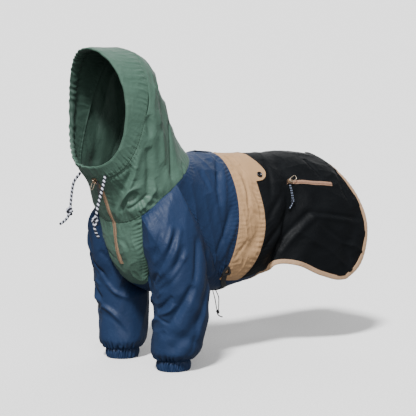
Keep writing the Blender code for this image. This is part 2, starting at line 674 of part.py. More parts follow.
def make_binding(cape_at, cape_across, belly_at, belly_angle):
    """The folded band round the hem: along the cape's free edge and back across the belly panel's rear."""
    side = slice(3, None)
    steps = (
        (cape_at[side, -1], cape_across[side, -1]),
        (cape_at[-1, -2:0:-1], cape_across[-1, -2:0:-1]),
        (cape_at[:2:-1, 0], cape_across[:2:-1, 0]),
    )
    edge, out = [], []
    for at, across in steps:
        edge.append(cape(at, across))
        out.append(normals(cape, at, across))
    belly_row_at, belly_row_angle = belly_at[-1, -2:0:-1], belly_angle[-1, -2:0:-1]
    edge.append(trunk(belly_row_at, belly_row_angle))
    out.append(normals(trunk, belly_row_at, belly_row_angle))
    edge, out = np.concatenate(edge), unit(np.concatenate(out))
    ahead = unit(np.roll(edge, -1, axis=0) - edge)
    away = unit(np.cross(ahead, out))
    behind = np.roll(away, 1, axis=0)
    mitre = (away + behind) / (1 + (away * behind).sum(axis=1, keepdims=True))
    fold = fold_heights(edge, BODY_FOLDS)[:, None]
    count = len(edge)
    on_cape = sum(len(step[0]) for step in steps)
    from_corner = np.abs(np.arange(count) - np.array([[0], [on_cape - 1]])).min(axis=0)
    low = np.where(from_corner < 4, 1.3, SEAM_GAP)[:, None]
    high = SEAM_GAP + BINDING_WIDTH
    above, below = (BINDING_WALL - CLOTH) / 2, -(BINDING_WALL + CLOTH) / 2
    corners = ((low, above), (high, above - 0.4), (high, below + 0.4), (low, below))
    rings = np.stack([edge + mitre * reach + out * (fold + level) for reach, level in corners], axis=1)
    faces = []
    for i in range(count):
        for j in range(4):
            k, n = (j + 1) % 4, (i + 1) % count
            ring = [i * 4 + j, i * 4 + k, n * 4 + k, n * 4 + j]
            if j > 1:
                ring = ring[1:] + ring[:1]
            faces.append(ring[:3])
            faces.append([ring[0], *ring[2:]])
    solid("hem_binding", rings.reshape(-1, 3), faces, TAN)


def armhole():
    """The left armhole's points and normals, round from the rear of the neck: neck, chest, belly and yoke."""
    chest_at, chest_angle = seam(FRONT_RAGLAN, np.linspace(0, 1, CHEST_STEPS + 1))
    under_at, under_angle = seam(BELLY_EDGE, np.linspace(0, 1, UNDERARM_STEPS + 1))
    yoke_at, yoke_angle = seam(REAR_RAGLAN, np.linspace(1, 0, RAGLAN_STEPS + 1))
    neck_angle = NECK_ANGLES[NECK_REAR : NECK_FRONT + 1]
    at = np.concatenate([neck_angle[:-1] * 0, chest_at[:-1], under_at[:-1], yoke_at[:-1]])
    angle = np.concatenate([neck_angle[:-1], chest_angle[:-1], under_angle[:-1], yoke_angle[:-1]])
    steps = (NECK_FRONT - NECK_REAR, CHEST_STEPS, UNDERARM_STEPS, RAGLAN_STEPS)
    sides = np.concatenate([side + np.arange(n) / n for side, n in enumerate(steps)])
    return trunk(at, angle), normals(trunk, at, angle), sides


def sleeve_ring(z, sides):
    """Points of the left sleeve at heights, for the sides 0 to 4 round it, from the outer rear."""
    centre_x, centre_y, radius_x, radius_y = np.moveaxis(through(SLEEVE_SECTIONS, z), -1, 0)
    angle = (0.5 - sides) * math.pi / 2
    x = centre_x + radius_x * np.sin(angle)
    y = -centre_y - radius_y * np.cos(angle)
    return np.stack(np.broadcast_arrays(x, y, z), axis=-1)


def make_sleeve():
    start, start_normals, sides = armhole()
    top = sleeve_ring(through(SLEEVE_TOPS, sides)[:, 0], sides)
    reach = np.linalg.norm(top - start, axis=1, keepdims=True) / 3
    bend = start + unit(through(SLEEVE_STARTS, sides)) * reach
    above = top + np.array((0, 0, 1)) * reach
    t = np.linspace(0, 1, 6)[:, None, None]
    shoulder = (1 - t) ** 3 * start + 3 * (1 - t) ** 2 * t * bend + 3 * (1 - t) * t**2 * above + t**3 * top
    heights = np.array([-290, -314, -337, -356, -368, -373, CUFF_TOP_Z], float)
    leg = sleeve_ring(heights[:, None], sides[None, :])
    base = np.concatenate([shoulder, leg])
    out = unit(np.cross(np.roll(base, -1, axis=1) - np.roll(base, 1, axis=1), np.gradient(base, axis=0)))
    for _ in range(4):
        out = unit(out * 2 + np.roll(out, 1, axis=1) + np.roll(out, -1, axis=1))
    agree = (start_normals * out[0]).sum(axis=-1, keepdims=True)
    share = np.array([1, 0.5] + [0] * (len(base) - 2))[:, None, None] * smooth_step(agree, 0.2, 0.8)
    out = unit(start_normals * share + out * (1 - share))
    height = fold_heights(base, SLEEVE_FOLDS)[..., None]
    height[0] = 0
    faces = [base + out * height, base + out * (height - CLOTH)]
    faces = pull_in(faces, ["first row"], gap=SEAM_GAP)
    faces = pull_in(faces, ["last row"])
    both_sides("sleeve", faces, NAVY, closed=True)


def make_cuff():
    sides = np.linspace(0, 4, 48, endpoint=False)
    z = np.array([CUFF_TOP_Z, (CUFF_TOP_Z + CUFF_END_Z) / 2, CUFF_END_Z], float)[:, None]
    base = sleeve_ring(z, sides[None, :])
    out = unit(base - base.mean(axis=1, keepdims=True))
    gathers = CUFF_GATHER_DEPTH * np.cos(CUFF_GATHERS * sides * math.pi / 2) * np.array([0, 1, 0.6])[:, None]
    faces = [base + out * gathers[..., None], base + out * (gathers[..., None] - CASING)]
    both_sides("cuff", pull_in(faces, ["first row"]), NAVY, closed=True)


def rounded_box(half_length, half_width, corner):
    """The outline of a rounded rectangle, as (along, side) points."""
    points = []
    for quarter, (x, y) in enumerate(((1, 1), (-1, 1), (-1, -1), (1, -1))):
        for turn in (0, 45, 90):
            angle = math.radians(90 * quarter + turn)
            centre = (x * (half_length - corner), y * (half_width - corner))
            points.append((centre[0] + corner * math.cos(angle), centre[1] + corner * math.sin(angle)))
    return points


def make_slider(name, frame, lift):
    """A zip slider: a plate with a wire bridge over it, which the pull ring hangs in."""
    outline = rounded_box(SLIDER_LENGTH / 2, SLIDER_WIDTH / 2, 1.5)
    plate = extrusion(name, outline, lift, lift + SLIDER_HEIGHT, frame, METAL)
    top = lift + SLIDER_HEIGHT
    rise = BRIDGE_RISE - BRIDGE_WIRE / 2
    turns = np.linspace(0, math.pi, 9)
    arch = [(BRIDGE_SPAN / 2 * math.cos(turn), 0, top + rise * math.sin(turn)) for turn in turns]
    arch = [(BRIDGE_SPAN / 2, 0, top - 1)] + arch + [(-BRIDGE_SPAN / 2, 0, top - 1)]
    bridge = tube(name + "_bridge", placed(arch, frame), BRIDGE_WIRE / 2, METAL)
    join = plate.modifiers.new("bridge", "BOOLEAN")
    join.operation = "UNION"
    join.solver = "EXACT"
    join.object = bridge
    graph = bpy.context.evaluated_depsgraph_get()
    made = bpy.data.meshes.new_from_object(plate.evaluated_get(graph))
    plate.modifiers.clear()
    plate.data = made
    bpy.data.objects.remove(bridge)


def make_pull(name, frame, lift, turn, tilt):
    """The wire ring in a slider's bridge, turned up from the cloth and tilted in its plane."""
    pivot = lift + SLIDER_HEIGHT + RING_WIRE / 2 + 0.5
    outline = np.array(rounded_box((RING_LENGTH - RING_WIRE) / 2, (RING_WIDTH - RING_WIRE) / 2, 2.6))
    outline[:, 0] += (RING_LENGTH - RING_WIRE) / 2
    turn, tilt = math.radians(turn), math.radians(tilt)
    along, side = outline[:, 0] * math.cos(turn), outline[:, 1]
    local = np.column_stack(
        [
            along * math.cos(tilt) - side * math.sin(tilt),
            along * math.sin(tilt) + side * math.cos(tilt),
            outline[:, 0] * math.sin(turn) + pivot,
        ]
    )
    tube(name, placed(local, frame), RING_WIRE / 2, BRASS, sides=8, closed=True)


def make_pocket_zip():
    """The pocket's zip on the left of the back panel, lying on the cloth."""
    line = through(POCKET_LINE, np.linspace(0, 1, 11))
    half = POCKET_ZIP_WIDTH / 2 / CAPE_GIRTH
    at, across = np.broadcast_arrays(line[:, :1], line[:, 1:] + np.array([-1, -0.4, 0.4, 1]) * half)
    ridge = np.array([0, 0.8, 0.8, 0])
    outer = wall_of(cape, at, across, BODY_FOLDS, lift=POCKET_ZIP_LIFT + ZIP_WALL + ridge)[0]
    inner = wall_of(cape, at, across, BODY_FOLDS, lift=POCKET_ZIP_LIFT)[0]
    shell("pocket_zip", (outer, inner), ZIP_TAPE)


def make_chest_slider():
    frame = frame_at(hood, CHEST_SLIDER_AT, math.pi, towards=(0.5, 0, -0.86))
    lift = 0.8 + SEAM_GAP
    make_slider("chest_slider", frame, lift)
    make_pull("chest_pull", frame, lift, CHEST_PULL_TURN, 0)
    for letter, points in zip("ab", CHEST_CORDS):
        start = placed(points[0], frame)
        drop = [start + (x - points[0][0], -y + points[0][1], -(z - points[0][2])) for x, y, z in points]
        cord("chest_cord_" + letter, drop, THIN_CORD_DIAMETER, CORD)


def make_pocket_slider():
    frame = frame_at(cape, *through(POCKET_LINE, POCKET_SLIDER_SHARE))
    lift = POCKET_ZIP_LIFT + ZIP_WALL + 0.8 + 0.8
    lift += fold_heights(frame[0], BODY_FOLDS)
    make_slider("pocket_slider", frame, lift)
    make_pull("pocket_pull", frame, lift, POCKET_PULL_TURN, POCKET_PULL_TILT)


def beside_cape(line, places, shift=0.0, height=0.0):
    """Points over the cape, clear of its folds, along a line of places and shares across it."""
    at, across = through(line, places).T
    base = cape(at + shift, across)
    height = fold_heights(base, BODY_FOLDS) + POCKET_CORD_HEIGHT + height
    return base + normals(cape, at + shift, across) * height[:, None]


def make_pocket_cord():
    for letter, shift in (("a", -0.0165), ("b", 0.0165)):
        route = beside_cape(POCKET_CORD_LINE, np.linspace(0, 1, 5), shift)
        cord("pocket_cord_" + letter, route, THIN_CORD_DIAMETER, CORD)
    ends = beside_cape(POCKET_KNOT_LINE, np.array([0.0, 0.5, 1.0]), height=0.6)
    knot("pocket_cord_knot", ends, THIN_CORD_DIAMETER / 2, 3.4, CORD)


def make_flap_snaps():
    for side, name in ((1, "snap_left"), (-1, "snap_right")):
        frame = frame_at(trunk, SNAP_AT, side * math.radians(SNAP_ANGLE))
        turns = np.arange(24) * TURN / 24
        disc = np.column_stack([np.cos(turns), np.sin(turns)]) * SNAP_DIAMETER / 2
        low = FLAP_RISE + SEAM_GAP + 0.25
        extrusion(name, disc, low, low + SNAP_HEIGHT, frame, METAL)


def make_strap():
    """The belly strap: webbing from the buckle on the left, under the belly, to the right-hand seam."""
    found = through(STRAP_LINE, np.linspace(0, STRAP_LINE[-1][0], 29))
    at, angle = found[:, :1], np.radians(found[:, 1:])
    pace = np.linalg.norm(trunk(at + 0.01, angle) - trunk(at - 0.01, angle), axis=-1) / 0.02
    at = at + np.array([-1, 0, 1]) * STRAP_WIDTH / 2 / pace
    faces = wall_of(trunk, at, angle, BODY_FOLDS, lift=STRAP_LIFT + STRAP_WALL, wall=STRAP_WALL)
    shell("belly_strap", faces, WEBBING)


def make_buckle():
    """The three-sided plastic loop that the belly strap is sewn to."""
    frame = frame_at(trunk, BUCKLE_AT, math.radians(BUCKLE_ANGLE), towards=(0, 0, -1))
    outline, opening = [], []
    for corner in range(3):
        middle = math.radians(60 + 120 * corner)
        for turn in (-50, 0, 50):
            angle = middle + math.radians(turn)
            for shape, reach, radius in ((outline, 7.5, 4.2), (opening, 4.4, 1.6)):
                shape.append(
                    (
                        reach * math.cos(middle) + radius * math.cos(angle),
                        reach * math.sin(middle) + radius * math.sin(angle),
                    )
                )
    low = STRAP_LIFT + STRAP_WALL - 0.8
    extrusion("belly_buckle", outline, low, low + BUCKLE_HEIGHT, frame, PLASTIC, opening)


def make_tail_tab():
    frame = frame_at(cape, TAIL_TAB_AT, 0.0)
    extrusion("tail_tab", rounded_box(10, 6, 1), 0.1, 1.9, frame, WEBBING)


def make_drawcords():
    cord("drawcord_left", LEFT_DRAWCORD, DRAWCORD_DIAMETER, CORD, count=14)
    knot("drawcord_left_knot", LEFT_KNOT, DRAWCORD_DIAMETER / 2, 7.0, CORD)
    cord("drawcord_right", RIGHT_DRAWCORD, DRAWCORD_DIAMETER, CORD, count=14)
    knot("drawcord_right_knot", RIGHT_KNOT, DRAWCORD_DIAMETER / 2, 7.0, CORD)


def make_belly_cord():
    for letter, route in zip("ab", BELLY_CORDS):
        cord("belly_cord_" + letter, route, THIN_CORD_DIAMETER, CORD)
    knot("belly_cord_knot", BELLY_KNOT, THIN_CORD_DIAMETER / 2, 3.6, CORD)


clear_scene()
PIECES = bpy.data.collections.new("dog_jacket")
bpy.context.scene.collection.children.link(PIECES)
GREEN = material("green_cloth", (0.14, 0.23, 0.19), 0.6)
NAVY = material("navy_cloth", (0.04, 0.08, 0.16), 0.55)
TAN = material("tan_cloth", (0.48, 0.34, 0.24), 0.7)
BLACK = material("black_cloth", (0.015, 0.017, 0.02), 0.6)
ZIP_TAPE = material("zip_tape", (0.35, 0.22, 0.15), 0.7)
METAL = material("slider_metal", (0.3, 0.22, 0.16), 0.4, 1.0)
BRASS = material("ring_wire", (0.5, 0.42, 0.33), 0.35, 1.0)
CORD = material("drawcord", (0.1, 0.1, 0.14), 0.8)
WEBBING = material("webbing", (0.01, 0.01, 0.012), 0.7)
PLASTIC = material("plastic", (0.012, 0.012, 0.014), 0.4)

make_hood()
make_brim()
make_yoke()
make_band()
CAPE_AT, CAPE_ACROSS = make_back()
ZIP_END, *CHEST_ROW = make_chest()
make_chest_zip(ZIP_END)
BELLY_AT, BELLY_ANGLE = make_belly(*CHEST_ROW)
make_binding(CAPE_AT, CAPE_ACROSS, BELLY_AT, BELLY_ANGLE)
make_sleeve()
make_cuff()
make_chest_slider()
make_pocket_zip()
make_pocket_slider()
make_pocket_cord()
make_flap_snaps()
make_strap()
make_buckle()
make_tail_tab()
make_drawcords()
make_belly_cord()
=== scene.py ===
"""The looks of a hooded dog jacket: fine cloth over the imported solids, with its creases, stitches and trims.

The frame is the part's: metres outside, millimetres in the tables here, +X to the tail and +Z up.
The cloth is lofted through the same sections as the part's source, with many more points.
"""

import collections
import json
import math

import bpy
import numpy as np
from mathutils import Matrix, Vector

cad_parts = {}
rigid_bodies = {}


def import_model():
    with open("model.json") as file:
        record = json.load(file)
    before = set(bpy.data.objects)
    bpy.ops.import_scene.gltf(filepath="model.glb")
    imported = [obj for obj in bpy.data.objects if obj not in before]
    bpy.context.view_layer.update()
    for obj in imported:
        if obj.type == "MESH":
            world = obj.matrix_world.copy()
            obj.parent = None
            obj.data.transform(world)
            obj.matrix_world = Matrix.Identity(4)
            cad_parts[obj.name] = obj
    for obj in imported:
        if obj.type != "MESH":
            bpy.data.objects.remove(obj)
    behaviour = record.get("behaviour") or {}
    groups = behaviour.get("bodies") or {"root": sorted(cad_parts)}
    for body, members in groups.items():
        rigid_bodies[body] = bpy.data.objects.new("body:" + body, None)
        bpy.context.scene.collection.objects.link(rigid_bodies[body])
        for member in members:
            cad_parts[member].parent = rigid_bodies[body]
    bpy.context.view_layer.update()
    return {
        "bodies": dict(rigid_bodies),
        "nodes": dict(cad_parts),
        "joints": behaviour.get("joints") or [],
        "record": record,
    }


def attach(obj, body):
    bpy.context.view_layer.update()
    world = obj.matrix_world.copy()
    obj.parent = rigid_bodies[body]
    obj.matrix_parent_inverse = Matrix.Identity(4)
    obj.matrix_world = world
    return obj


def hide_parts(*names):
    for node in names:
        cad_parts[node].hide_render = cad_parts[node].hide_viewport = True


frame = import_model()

MM = 0.001
TURN = 2 * math.pi
CLOTH, CASING, SEAM_GAP = 1.2, 2.2, 0.3
SEWN_AT = 4.2  # a seam's top stitching, from the seam
BINDING_WIDTH, BINDING_WALL = 8.0, 2.6
FLAP_RISE = 1.8
ZIP_HALF_WIDTH, ZIP_WALL = 5.0, 1.6
SLIT_START, SLIT_END, SLIT_HALF_WIDTH = 0.27, 0.88, 4.0
SLIT_EDGE_ANGLE, SLIT_REACH_ANGLE = 0.012, 0.12  # radians from the back's centre
SLIT_RADIUS = 62  # the yoke's own there, in millimetres a radian
YOKE_ROWS = (0, 0.13, SLIT_START, 0.47, 0.68, SLIT_END, 1.0)
POCKET_ZIP_WIDTH, POCKET_ZIP_LIFT = 10.0, 0.9
STRAP_WIDTH, STRAP_WALL, STRAP_LIFT = 12.0, 1.6, 0.6
TAB_LENGTH, TAB_WIDTH, TAB_WALL = 20.0, 12.0, 1.9
DRAWCORD_DIAMETER, THIN_CORD_DIAMETER = 5.0, 1.9
WEAVE_PITCH = 0.00045  # metres
WAVE_PERIOD = 0.314  # of Blender's wave texture at a scale of one, in metres
ALL_SIDES = ("first row", "last row", "first column", "last column")
NECK_COLUMNS, RAGLAN_COLUMNS = 72, 90  # from the back's centre to a sleeve, and along a sleeve's rear seam
ARMHOLE_COLUMNS = (36, 48, 36, 60)  # along the hood, chest, belly and yoke
ATTACHED_ROWS = 22  # of the back panel, from the waist to where its side edges are free

# Columns: at, back x and z, front x and z, half width, bow, sag, upper and lower fullness.
TRUNK_SECTIONS = (
    (0.00, 0, 1.2, -167, -119, 88, -14, 2, 1.6, 2.7),
    (0.25, 18, 1.0, -160, -172, 89, -6, 8, 1.75, 2.6),
    (0.50, 37, 0.0, -134, -225, 90, 3, 12, 1.85, 2.4),
    (0.70, 52, -1.0, -88, -256, 90, 9, 13, 1.9, 2.3),
    (0.85, 63, -2.0, -45, -267, 89, 13, 14, 1.9, 2.2),
    (1.00, 74, -3.0, 5, -273, 88, 15, 15, 1.9, 2.2),
    (1.50, 97, -5.0, 36, -271, 88, 24, 16, 1.9, 2.2),
    (2.00, 120, -7.0, 62, -267, 88, 33, 16, 1.85, 2.2),
    (2.50, 184, -8.0, 128, -259, 90, 8, 10, 1.9, 2.2),
    (3.50, 250, -13.0, 200, -250, 92, 0, 0, 2.2, 2.2),
)
HOOD_SECTIONS = (
    (0.00, 0, 1.2, -167, -119, 88, -14, 2, 1.6, 2.7),
    (0.15, -26, 30, -178, -98, 87, -5, 0, 1.6, 2.9),
    (0.35, -52, 77, -187, -74, 86, 2, 0, 1.65, 3.1),
    (0.55, -77, 128, -195, -56, 86, 8, 0, 1.75, 3.1),
    (0.75, -110, 186, -206, -42, 88, 16, 0, 2.0, 2.9),
    (0.88, -160, 206, -218, -28, 89, 20, 0, 2.1, 2.8),
    (1.00, -226, 208, -231, -12, 89, 24, 0, 2.1, 2.6),
)
BRIM_START = 0.84
REAR_RAGLAN = ((0.0, 0.0, 86), (0.35, 0.30, 88), (0.65, 0.60, 94), (0.85, 0.77, 105), (1.0, 0.87, 118))
FRONT_RAGLAN = ((0.0, 0.0, 137), (0.4, 0.22, 143), (0.75, 0.43, 149), (1.0, 0.54, 159))
BELLY_EDGE = (
    (0.0, 0.54, 159),
    (0.5, 0.70, 138),
    (1.0, 0.87, 118),
    (1.5, 1.00, 134),
    (2.5, 2.00, 141),
    (3.0, 2.50, 143),
)
SLEEVE_REAR, SLEEVE_FRONT = 86, 137  # degrees, where a sleeve meets the neck
NECK_BLEND = 0.12  # how far from the neck seam, as a step along the hood or trunk
CHEST_TIP = 0.585
WAIST_FRONT, WAIST_REAR, BELLY_END, TRUNK_END = 1.0, 2.0, 2.5, 3.5
WAIST_EDGE_ANGLE = 141
# Columns: at, back x and z, low x, y and z, bulge, fullness.
CAPE_LINES = (
    (2.5, 184, -8, 135, 55, -238, 0, 2.3),
    (3.0, 213, -7, 158, 82, -206, 0, 2.4),
    (3.5, 250, -9, 216, 98, -220, 2, 2.4),
    (4.0, 285, -13, 270, 106, -244, 4, 2.4),
    (4.5, 315, -17, 320, 110, -257, 8, 2.3),
    (5.0, 332, -20, 363, 112, -257, 16, 2.1),
    (5.5, 344, -26, 392, 110, -250, 25, 2.0),
)
CAPE_END, CORNER_START, CORNER_DEPTH, CAPE_GIRTH = 5.5, 0.6, 1.1, 300
FLAP_EDGE = ((0.0, 25), (0.3, 28), (0.6, 34), (0.85, 40), (0.95, 40), (1.0, 34))
FLAP_ANGLE = 48  # degrees from the back's centre
FLAP_STEP = 128  # millimetres of cloth, where the flap lies, for a step of one along the trunk
# Columns: z, centre x and y, radius along x and y.
SLEEVE_SECTIONS = (
    (-395, -89, 79, 31, 30),
    (-377, -89, 79, 31, 30),
    (-372, -88, 80, 38, 37),
    (-359, -86, 82, 47, 46),
    (-335, -82, 86, 50, 49),
    (-292, -79, 89, 52, 51),
    (-245, -80, 91, 56, 50),
)
CUFF_TOP_Z, CUFF_END_Z = -377, -395
SLEEVE_TOPS = ((0, -245), (1, -245), (1.5, -258), (2, -274), (3, -276), (3.5, -262), (4, -245))
SLEEVE_STARTS = (
    (0.0, 0.1, -0.6, -0.8),
    (0.5, -0.2, -0.7, -0.7),
    (1.0, -0.5, -0.8, -0.4),
    (1.5, -0.5, -0.7, -0.5),
    (2.0, -0.1, -0.5, -0.8),
    (2.5, 0.0, 0.0, -1.0),
    (3.0, 0.1, -0.6, -0.8),
    (3.5, 0.0, -0.9, -0.4),
    (4.0, 0.1, -0.6, -0.8),
)

# Folds: start, middle, end, width, depth. These four tables are the source's own.
BODY_FOLDS = (
    ((20, 6, 0), (43, 7, 0), (68, 6, 0), 9, 3.0),
    ((120, -80, -70), (128, -92, -120), (100, -88, -180), 13, -3.5),
    ((200, -60, -30), (196, -88, -80), (176, -90, -130), 12, -3.0),
    ((225, -88, -90), (198, -92, -140), (172, -88, -185), 13, -3.0),
    ((300, -100, -110), (262, -104, -160), (215, -102, -215), 18, 3.0),
    ((385, -70, -120), (350, -108, -180), (330, -112, -240), 16, -3.0),
)
HOOD_FOLDS = (
    ((-165, -70, 130), (-140, -92, 60), (-150, -90, -10), 15, 4.0),
    ((-120, -60, 140), (-95, -88, 60), (-90, -90, -20), 14, -5.0),
    ((-70, -40, 100), (-55, -75, 30), (-60, -88, -40), 13, 3.5),
    ((-190, -60, -60), (-160, -75, -70), (-120, -95, -70), 12, -4.0),
)
SLEEVE_FOLDS = (
    ((-34, -96, -180), (-62, -140, -270), (-120, -118, -345), 13, -5.0),
    ((-128, -110, -200), (-110, -140, -250), (-40, -116, -300), 14, 3.0),
    ((-60, -136, -350), (-95, -128, -330), (-128, -100, -320), 10, -3.5),
)
CHEST_FOLDS = (
    ((-168, -62, -130), (-158, -60, -170), (-120, -48, -222), 10, -5.0),
    ((-172, 40, -135), (-166, 18, -160), (-150, -2, -190), 10, -2.5),
)
BROAD_FOLD = 9

# Creases that only this cloth has: those too fine for the solids, and the far side's own folds.
HOOD_CREASES = (
    ((-158, -90, 84), (-153, -90, 69), (-149, -90, 44), 6, -5.0),
    ((-154, -88, 26), (-150, -87, -15), (-149, -78, -66), 8, -7.5),
    ((-169, -86, 23), (-174, -80, -5), (-174, -74, -33), 7, 3.5),
    ((-82, -57, 68), (-89, -70, 36), (-97, -86, -37), 5.5, -5.0),
    ((-179, -77, -9), (-184, -66, -33), (-186, -47, -58), 7, -5.0),
    ((-177, -78, -7), (-179, -69, -39), (-180, -39, -85), 4, 4.2),
    ((-168, -72, -56), (-171, -65, -66), (-174, -58, -77), 6, -4.0),
    ((-124, -85, 70), (-122, -84, 60), (-120, -84, 50), 5, -3.0),
    ((-128, -84, 94), (-119, -85, 38), (-118, -86, -8), 7, 4.6),
    ((-176, -30, -98), (-178, -54, -72), (-166, -68, -58), 4, -4.4),
    ((-180, -40, -86), (-180, -60, -58), (-160, -76, -46), 3.5, 4.1),
    ((-175, -51, -88), (-163, -68, -78), (-150, -80, -60), 3.5, -4.4),
    ((-160, -66, -92), (-148, -76, -76), (-134, -85, -50), 3.5, 3.7),
    ((-208, -31, -35), (-200, -64, -18), (-180, -76, -6), 5, -3.1),
    ((-195, -50, -33), (-188, -40, -65), (-180, -12, -95), 7, -4.1),
    ((-135, -86, -30), (-128, -88, -52), (-122, -92, -72), 4, -3.4),
    ((-112, -86, -18), (-106, -88, -42), (-102, -92, -62), 4, 3.1),
    ((-60, -70, -8), (-62, -80, -30), (-66, -86, -45), 4, -3.1),
    ((-206, 30, -42), (-196, 40, -66), (-182, 30, -96), 6, -4.1),
    ((-120, 60, 140), (-95, 88, 60), (-90, 90, -20), 10, -6.8),
    ((-165, 70, 130), (-140, 92, 60), (-150, 90, -10), 11, 6),
    ((-70, 40, 100), (-55, 75, 30), (-60, 88, -40), 9, 5.1),
    ((-170, 55, -80), (-150, 74, -66), (-120, 92, -62), 6, -4.2),
)
BODY_CREASES = (
    ((64, -20, -7), (32, -65, -48), (19, -84, -95), 6, -4.8),
    ((66, -36, -18), (44, -72, -60), (26, -88, -125), 7, 3.5),
    ((-9, -59, -27), (-4, -70, -47), (4, -78, -68), 5, -2.6),
    ((53, -82, -96), (32, -89, -141), (10, -85, -188), 6, -3.8),
    ((62, -86, -120), (44, -90, -160), (22, -84, -205), 6, 2.9),
    ((64, 20, -7), (32, 65, -48), (19, 84, -95), 6, -4.8),
    ((53, 82, -96), (32, 89, -141), (10, 85, -188), 6, -3.8),
    ((103, -42, -25), (100, -72, -71), (96, -86, -118), 5, -2.6),
    ((88, -76, -84), (104, -84, -110), (128, -86, -128), 4, -2.6),
    ((62, -84, -196), (76, -85, -180), (92, -86, -164), 4, -2.4),
    ((88, -50, -34), (92, -78, -80), (86, -88, -130), 4, 2.2),
    ((110, 60, -45), (104, 84, -100), (92, 88, -150), 6, -3.2),
    ((150, -69, -223), (184, -84, -176), (253, -94, -118), 8, -5.1),
    ((158, -76, -228), (200, -92, -172), (275, -98, -118), 8, 4.2),
    ((129, -83, -194), (161, -89, -157), (199, -81, -121), 7, -3.8),
    ((141, -87, -135), (164, -85, -104), (194, -75, -78), 7, -3.5),
    ((240, -92, -125), (300, -100, -133), (387, -98, -149), 4, -3.2),
    ((250, -94, -132), (310, -102, -141), (380, -104, -156), 6, 2.6),
    ((277, -42, -24), (283, -58, -37), (300, -76, -60), 6, -4.2),
    ((267, -102, -151), (318, -106, -185), (349, -110, -232), 7, -3.2),
    ((355, -51, -51), (352, -81, -89), (365, -92, -119), 7, -3.5),
    ((171, -35, -20), (166, -66, -50), (152, -84, -94), 6, -2.9),
    ((200, 60, -30), (196, 88, -80), (176, 90, -130), 10, -4.8),
    ((150, 69, -223), (184, 84, -176), (253, 94, -118), 8, -5.1),
    ((385, 70, -120), (350, 108, -180), (330, 112, -240), 12, -4.8),
    ((300, 100, -110), (262, 104, -160), (215, 102, -215), 14, 4.8),
    ((-168, -62, -130), (-154, -58, -170), (-128, -34, -226), 3.5, -4.8),
    ((-160, 60, -150), (-152, 40, -176), (-151, 12, -190), 3, -3.5),
    ((-162, -12, -151), (-157, -29, -169), (-145, -7, -206), 5, -1.9),
)
SLEEVE_CREASES = (
    ((-68, -124, -140), (-78, -136, -190), (-90, -140, -228), 7, -5.5),
    ((-90, -140, -228), (-108, -135, -259), (-127, -101, -314), 8, -7.5),
    ((-100, -132, -168), (-122, -127, -205), (-135, -88, -254), 3.5, 4.8),
    ((-109, -132, -180), (-126, -124, -214), (-136, -98, -241), 5, -5.5),
    ((-104, -119, -122), (-122, -126, -163), (-141, -95, -219), 4.5, 4.6),
    ((-103, -128, -154), (-121, -129, -187), (-138, -86, -233), 5, -4.8),
    ((-119, -113, -117), (-136, -117, -153), (-147, -95, -190), 4, 4.2),
    ((-113, -118, -125), (-131, -122, -162), (-142, -103, -204), 4.5, -4.2),
    ((-139, -108, -124), (-150, -108, -151), (-149, -97, -177), 4, -3.4),
    ((-125, -121, -247), (-132, -103, -267), (-132, -84, -278), 5.5, -5.0),
    ((-121, -123, -262), (-127, -112, -277), (-131, -83, -286), 4, 4.0),
    ((-131, -85, -290), (-129, -100, -297), (-120, -112, -303), 3, -2.6),
    ((-141, -103, -209), (-140, -82, -222), (-130, -70, -248), 5, -5.0),
    ((-147, -71, -181), (-130, -56, -204), (-116, -43, -239), 6, -5.0),
    ((-138, -80, -226), (-124, -60, -262), (-86, -42, -276), 5, 4.4),
    ((-137, -106, -297), (-124, -66, -303), (-88, -40, -360), 5, 5.1),
    ((-128, -100, -310), (-116, -60, -322), (-98, -48, -362), 5, -4.4),
    ((-87, -125, -362), (-79, -133, -324), (-75, -137, -276), 6, -2.7),
    ((-30, -90, -250), (-34, -110, -300), (-50, -120, -350), 8, -4.1),
)
ON_HOOD, ON_SLEEVE = HOOD_FOLDS + HOOD_CREASES, SLEEVE_FOLDS + SLEEVE_CREASES
ON_CHEST, ON_BODY = CHEST_FOLDS + BODY_CREASES, BODY_FOLDS + BODY_CREASES

# Cords: the points each hangs through, from where it leaves the cloth.
LEFT_DRAWCORD = ((-215.2, -38.5, -25.5), (-226, -45, -45), (-240, -50, -75), (-247, -52, -96))
LEFT_KNOT = ((-247.3, -52, -96.8), (-250, -52, -112), (-240, -51, -136))
RIGHT_DRAWCORD = ((-215.8, 37.9, -25.3), (-226, 46, -45), (-228, 50, -68), (-230, 51, -90))
RIGHT_KNOT = ((-230, 51, -90.8), (-234, 51, -104), (-254, 51, -120))
BELLY_CORDS = (
    ((59, -18, -270.2), (64, -19, -288), (68.5, -19, -308.8)),
    ((64, -21, -269.6), (72, -21, -288), (71.2, -21, -308.8)),
)
BELLY_KNOT = ((70, -20, -309.2), (70, -20, -316.5), (82, -20, -325))
CHEST_CORDS = (((0, 6.6, 1.0), (3, 7.0, 26), (5, 7.2, 38)), ((0, 8.9, 1.0), (3, 9.3, 26), (5, 9.5, 38)))
SNAP_AT, SNAP_ANGLE = 2.16, 42.5
# Columns: radius, level. From the top's centre out over the rim and down to the seat.
SNAP_PROFILE = (
    (0.0, 1.15),
    (1.2, 1.1),
    (2.0, 0.7),
    (2.6, 0.65),
    (3.2, 1.3),
    (3.8, 2.0),
    (4.6, 2.2),
    (5.4, 2.0),
    (5.85, 1.4),
    (6.0, 0.7),
    (5.95, 0.15),
    (5.6, 0.0),
)
